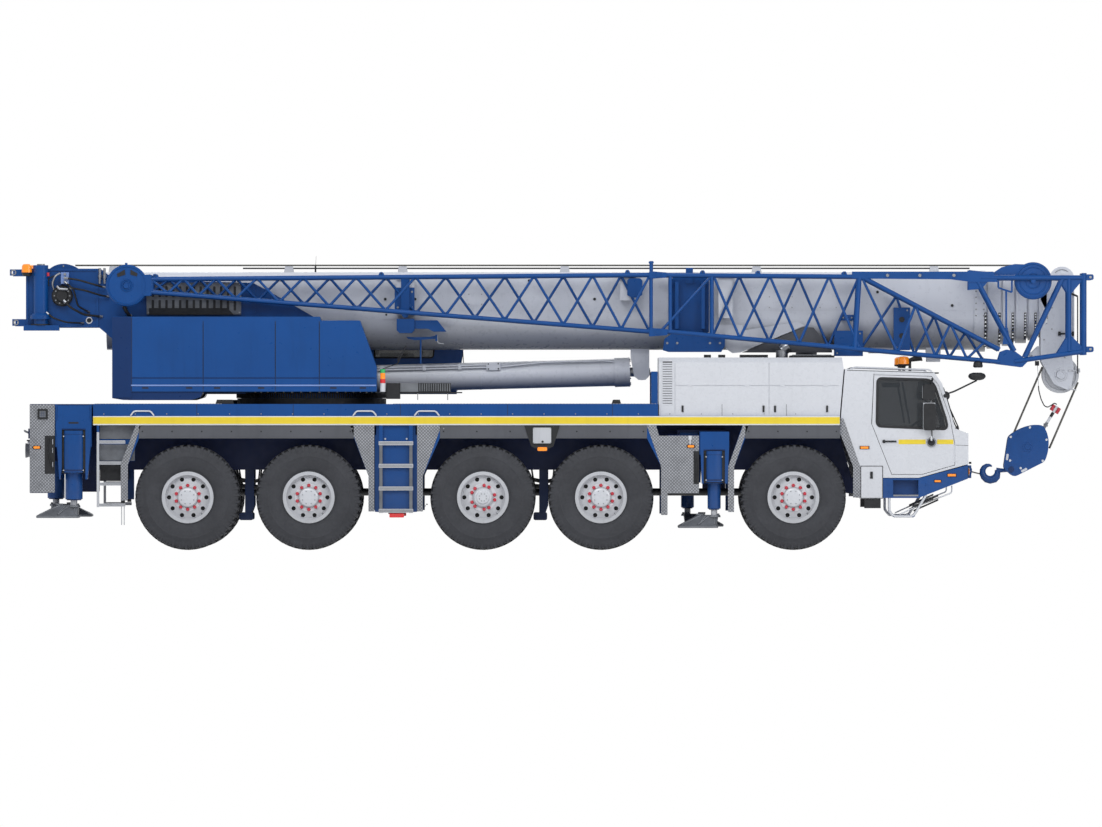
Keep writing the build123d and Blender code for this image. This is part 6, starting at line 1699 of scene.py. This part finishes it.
seal = Kit(BLACK, SILVER, SEAT, CAST, AMBER, BLUE, CLEAR_LENS)
path_bar(seal, at_y(0.604, PANE + PANE[:1]), 0.013, 0, 6)
path_bar(seal, [(-2.87, 0.66, 2.8), (-2.87, 1.312, 2.8), (-2.87, 1.312, 3.45), (-2.87, 0.66, 3.45),
                (-2.87, 0.66, 2.8)], 0.013, 0, 6)
path_bar(seal, [(-2.5, 0.66, 3.646), (-1.8, 0.66, 3.646), (-1.8, 1.312, 3.646), (-2.5, 1.312, 3.646),
                (-2.5, 0.66, 3.646)], 0.012, 0, 6)
path_bar(seal, [(-1.302, 0.662, 2.505), (-1.247, 0.662, 2.898), (-1.396, 0.662, 3.39), (-1.396, 1.31, 3.39),
                (-1.247, 1.31, 2.898), (-1.302, 1.31, 2.505), (-1.302, 0.662, 2.505)], 0.014, 0, 6)
# seat on its plinth, arm rests with levers, pedals and a screen on a stalk
seal.prism(rounded([(-2.42, 2.64), (-1.95, 2.65), (-1.93, 2.76), (-2.42, 2.77)], 0.04), (0.73, 1.24), 2)
seal.prism(rounded([(-2.56, 2.74), (-2.43, 2.74), (-2.49, 3.3), (-2.6, 3.3)], 0.04), (0.75, 1.22), 2)
seal.prism(rounded([(-2.62, 3.31), (-2.53, 3.31), (-2.55, 3.46), (-2.62, 3.46)], 0.03), (0.86, 1.11), 2)
seal.prism([(-2.38, 2.295), (-2.02, 2.295), (-2.06, 2.642), (-2.34, 2.642)], (0.8, 1.17), 3)
for arm in (0.7, 1.25):
    seal.prism(rounded([(-2.43, 2.9), (-1.98, 2.9), (-1.96, 2.96), (-2.43, 2.97)], 0.025),
               about(arm, 0.035))
    seal.bar((-2.03, arm, 2.955), (-2.015, arm, 3.08), 0.011, 3, 10)
    seal.bar((-2.018, arm, 3.06), (-2.006, arm, 3.12), 0.024, 0, 12)
for pedal in (0.86, 1.08):
    seal.prism([(-1.66, 2.3), (-1.64, 2.29), (-1.54, 2.43), (-1.556, 2.44)], about(pedal, 0.045))
seal.bar((-1.48, 0.72, 2.3), (-1.56, 0.72, 2.82), 0.018, 3, 12)
seal.prism(rounded([(-1.585, 2.8), (-1.535, 2.8), (-1.565, 3.02), (-1.615, 3.02)], 0.012), (0.655, 0.86))
# work lamps on the roof's edge, a wiper and a grab rail
for lamp_y in (0.72, 1.24):
    seal.bar((-1.455, lamp_y, 3.5), (-1.395, lamp_y, 3.485), 0.05, 0, 20)
    seal.bar((-1.397, lamp_y, 3.4855), (-1.391, lamp_y, 3.484), 0.043, 6, 20)
    seal.bar((-1.47, lamp_y, 3.44), (-1.43, lamp_y, 3.492), 0.012, 0, 8)
seal.bar((-1.232, 1.0, 2.56), (-1.252, 0.96, 2.96), 0.007, 0, 8)
seal.bar((-1.252, 0.96, 2.96), (-1.38, 1.06, 3.3), 0.005, 0, 8)
path_bar(seal, at_y(1.3, [(-2.88, 2.45), (-2.915, 2.47), (-2.915, 3.25), (-2.88, 3.27)]), 0.011, 0, 10)
seal.piece("crane_cab_fittings", "upper", "black_rubber", bevel=0.0012)

door = Kit(GLASS)
door.prism(PANE, (1.349, 1.355))
door.piece("crane_door_glass", "crane_door", "window_glass")
trim = Kit(BLACK, SILVER)
path_bar(trim, at_y(1.368, PANE + PANE[:1]), 0.011, 0, 6)
trim.prism(soft_box(-1.78, -1.68, 2.56, 2.62, 0.012), (1.3725, 1.384))
path_bar(trim, [(-1.77, 1.384, 2.59), (-1.765, 1.394, 2.592), (-1.69, 1.394, 2.592)], 0.007, 0, 8)
for hinge_z in (2.52, 2.68, 3.2, 3.38):
    trim.post(-2.548, 1.378, hinge_z - 0.03, hinge_z + 0.03, 0.012, 0, 12)
path_bar(trim, [(-2.3, 1.372, 2.6), (-2.29, 1.396, 2.6), (-1.92, 1.396, 2.6), (-1.91, 1.372, 2.6)], 0.009,
         0, 8)
trim.piece("crane_door_trim", "crane_door", "black_rubber", bevel=0.001)

# ---------------- rear face: lamps, steps, coupling
back = Kit(BLACK, RED_LENS, AMBER, CLEAR_LENS, CAST, SILVER, BLUE, SHADE_BLUE)
BACK_X = -7.2302
for sign in (-1, 1):
    low, high = span(sign, 0.7, 1.03)
    back.box((BACK_X - 0.03, BACK_X), (low, high), (1.265, 1.405))
    for index, look in enumerate((1, 2, 1, 3)):
        middle = sign * (0.742 + 0.082 * index)
        back.solid([(-0.006, 0.026), (-0.001, 0.034), (0.006, 0.034)], (BACK_X - 0.031, middle, 1.335),
                   look, 24, "X")
    for bolt_y in (0.2, 0.42, 0.6, 0.95):
        for bolt_z in (1.5, 2.0):
            back.rod(sign * bolt_y, bolt_z, BACK_X - 0.008, BACK_X, 0.012, 5, 8)
    back.box((BACK_X - 0.006, BACK_X), span(sign, 0.1, 0.6), (1.6, 1.95), 7)
    back.rod(sign * 0.955, 1.52, BACK_X - 0.004, BACK_X - 0.012, 0.032, 1, 20)
    eye_y = sign * 0.76
    path_bar(back, [(-7.325, eye_y - 0.045, 1.64), (-7.372, eye_y - 0.045, 1.66), (-7.385, eye_y, 1.67),
                    (-7.372, eye_y + 0.045, 1.66), (-7.325, eye_y + 0.045, 1.64)], 0.014, 4, 10)
# tow coupling's jaw and pin
back.lathe([(0.0, 0.03), (0.0, 0.085), (-0.07, 0.105), (-0.075, 0.095), (-0.02, 0.06), (-0.02, 0.03)],
           (-7.33, 0, 1.39), 4, 32, "X")
back.post(-7.352, 0, 1.3, 1.52, 0.022, 5, 16)
back.post(-7.352, 0, 1.52, 1.54, 0.034, 0, 16)
for hose_y in (-0.16, -0.2, 0.16):
    back.rod(hose_y, 1.3, BACK_X - 0.045, BACK_X, 0.018, 1 if hose_y < -0.18 else 5, 14)
back.piece("rear_fittings", "carrier", "dark_metal", bevel=0.0012)

# ---------------- junction box and marker lamp on the skirt
marker = Kit(SILVER, BLACK, AMBER, CAST)
SKIRT_FACE = 1.3402
for sign in (-1, 1):
    proud = offsets(sign, SKIRT_FACE)
    marker.prism([(-0.368, 1.745), (0.13, 1.745), (0.041, 1.452), (-0.01, 1.425), (-0.22, 1.425),
                  (-0.272, 1.452)], proud(0.0145, 0.0175), 1)
    marker.prism(soft_box(-0.245, 0.009, 1.493, 1.713, 0.016), proud(0.0175, 0.048))
    marker.prism(soft_box(-0.222, -0.014, 1.514, 1.692, 0.012), proud(0.048, 0.051))
    for bolt_x in (-0.233, -0.003):
        for bolt_z in (1.505, 1.701):
            bolt(marker, bolt_x, sign * 1.3882, bolt_z, sign, 0.006, 3, 0.004)
    marker.pin(-0.111, 1.517, sign * 1.391, sign * 1.397, 0.016, 1, 14)
    marker.prism(soft_box(-0.192, -0.038, 1.38, 1.446, 0.02), proud(-0.02, 0.02), 1)
    marker.prism(soft_box(-0.182, -0.048, 1.388, 1.44, 0.018), proud(0.02, 0.036), 2)
marker.piece("skirt_marker", "carrier", "wheel_grey", bevel=0.0012)

# ---------------- brackets and air parts between the paired wheels
under = Kit(SHADE_BLUE, BLACK, CAST, STEEL)
for middle in (-4.231, -0.095):
    for sign in (-1, 1):
        leg = [(middle - 0.064, 1.24), (middle + 0.064, 1.24), (middle + 0.064, 0.62),
               (middle + 0.01, 0.468), (middle - 0.064, 0.468)]
        under.prism(leg, span(sign, 0.43, 0.5))
        under.prism(soft_box(middle - 0.145, middle + 0.048, 0.411, 0.516, 0.03), span(sign, 0.415, 0.515))
        for reach, height in ((-0.3, 1.01), (0.24, 1.0)):
            under.pin(middle + reach, height, sign * 0.3, sign * 0.56, 0.07, 1, 20)
            under.pin(middle + reach, height, sign * 0.56, sign * 0.58, 0.05, 2, 16)
            under.bar((middle + reach, sign * 0.47, height), (middle, sign * 0.47, height - 0.06), 0.026, 1,
                      10)
        under.bar((middle - 0.42, sign * 0.465, 0.9), (middle + 0.42, sign * 0.465, 0.86), 0.03, 1, 12)
        path_bar(under, [(middle - 0.18, sign * 0.52, 1.18), (middle - 0.14, sign * 0.53, 0.94),
                         (middle - 0.1, sign * 0.53, 0.8), (middle - 0.3, sign * 0.5, 0.7)], 0.012, 1, 8)
        path_bar(under, [(middle + 0.15, sign * 0.52, 1.18), (middle + 0.12, sign * 0.53, 0.9),
                         (middle + 0.32, sign * 0.5, 0.74)], 0.012, 1, 8)
under.piece("air_and_brackets", "carrier", "dark_metal", bevel=0.002)
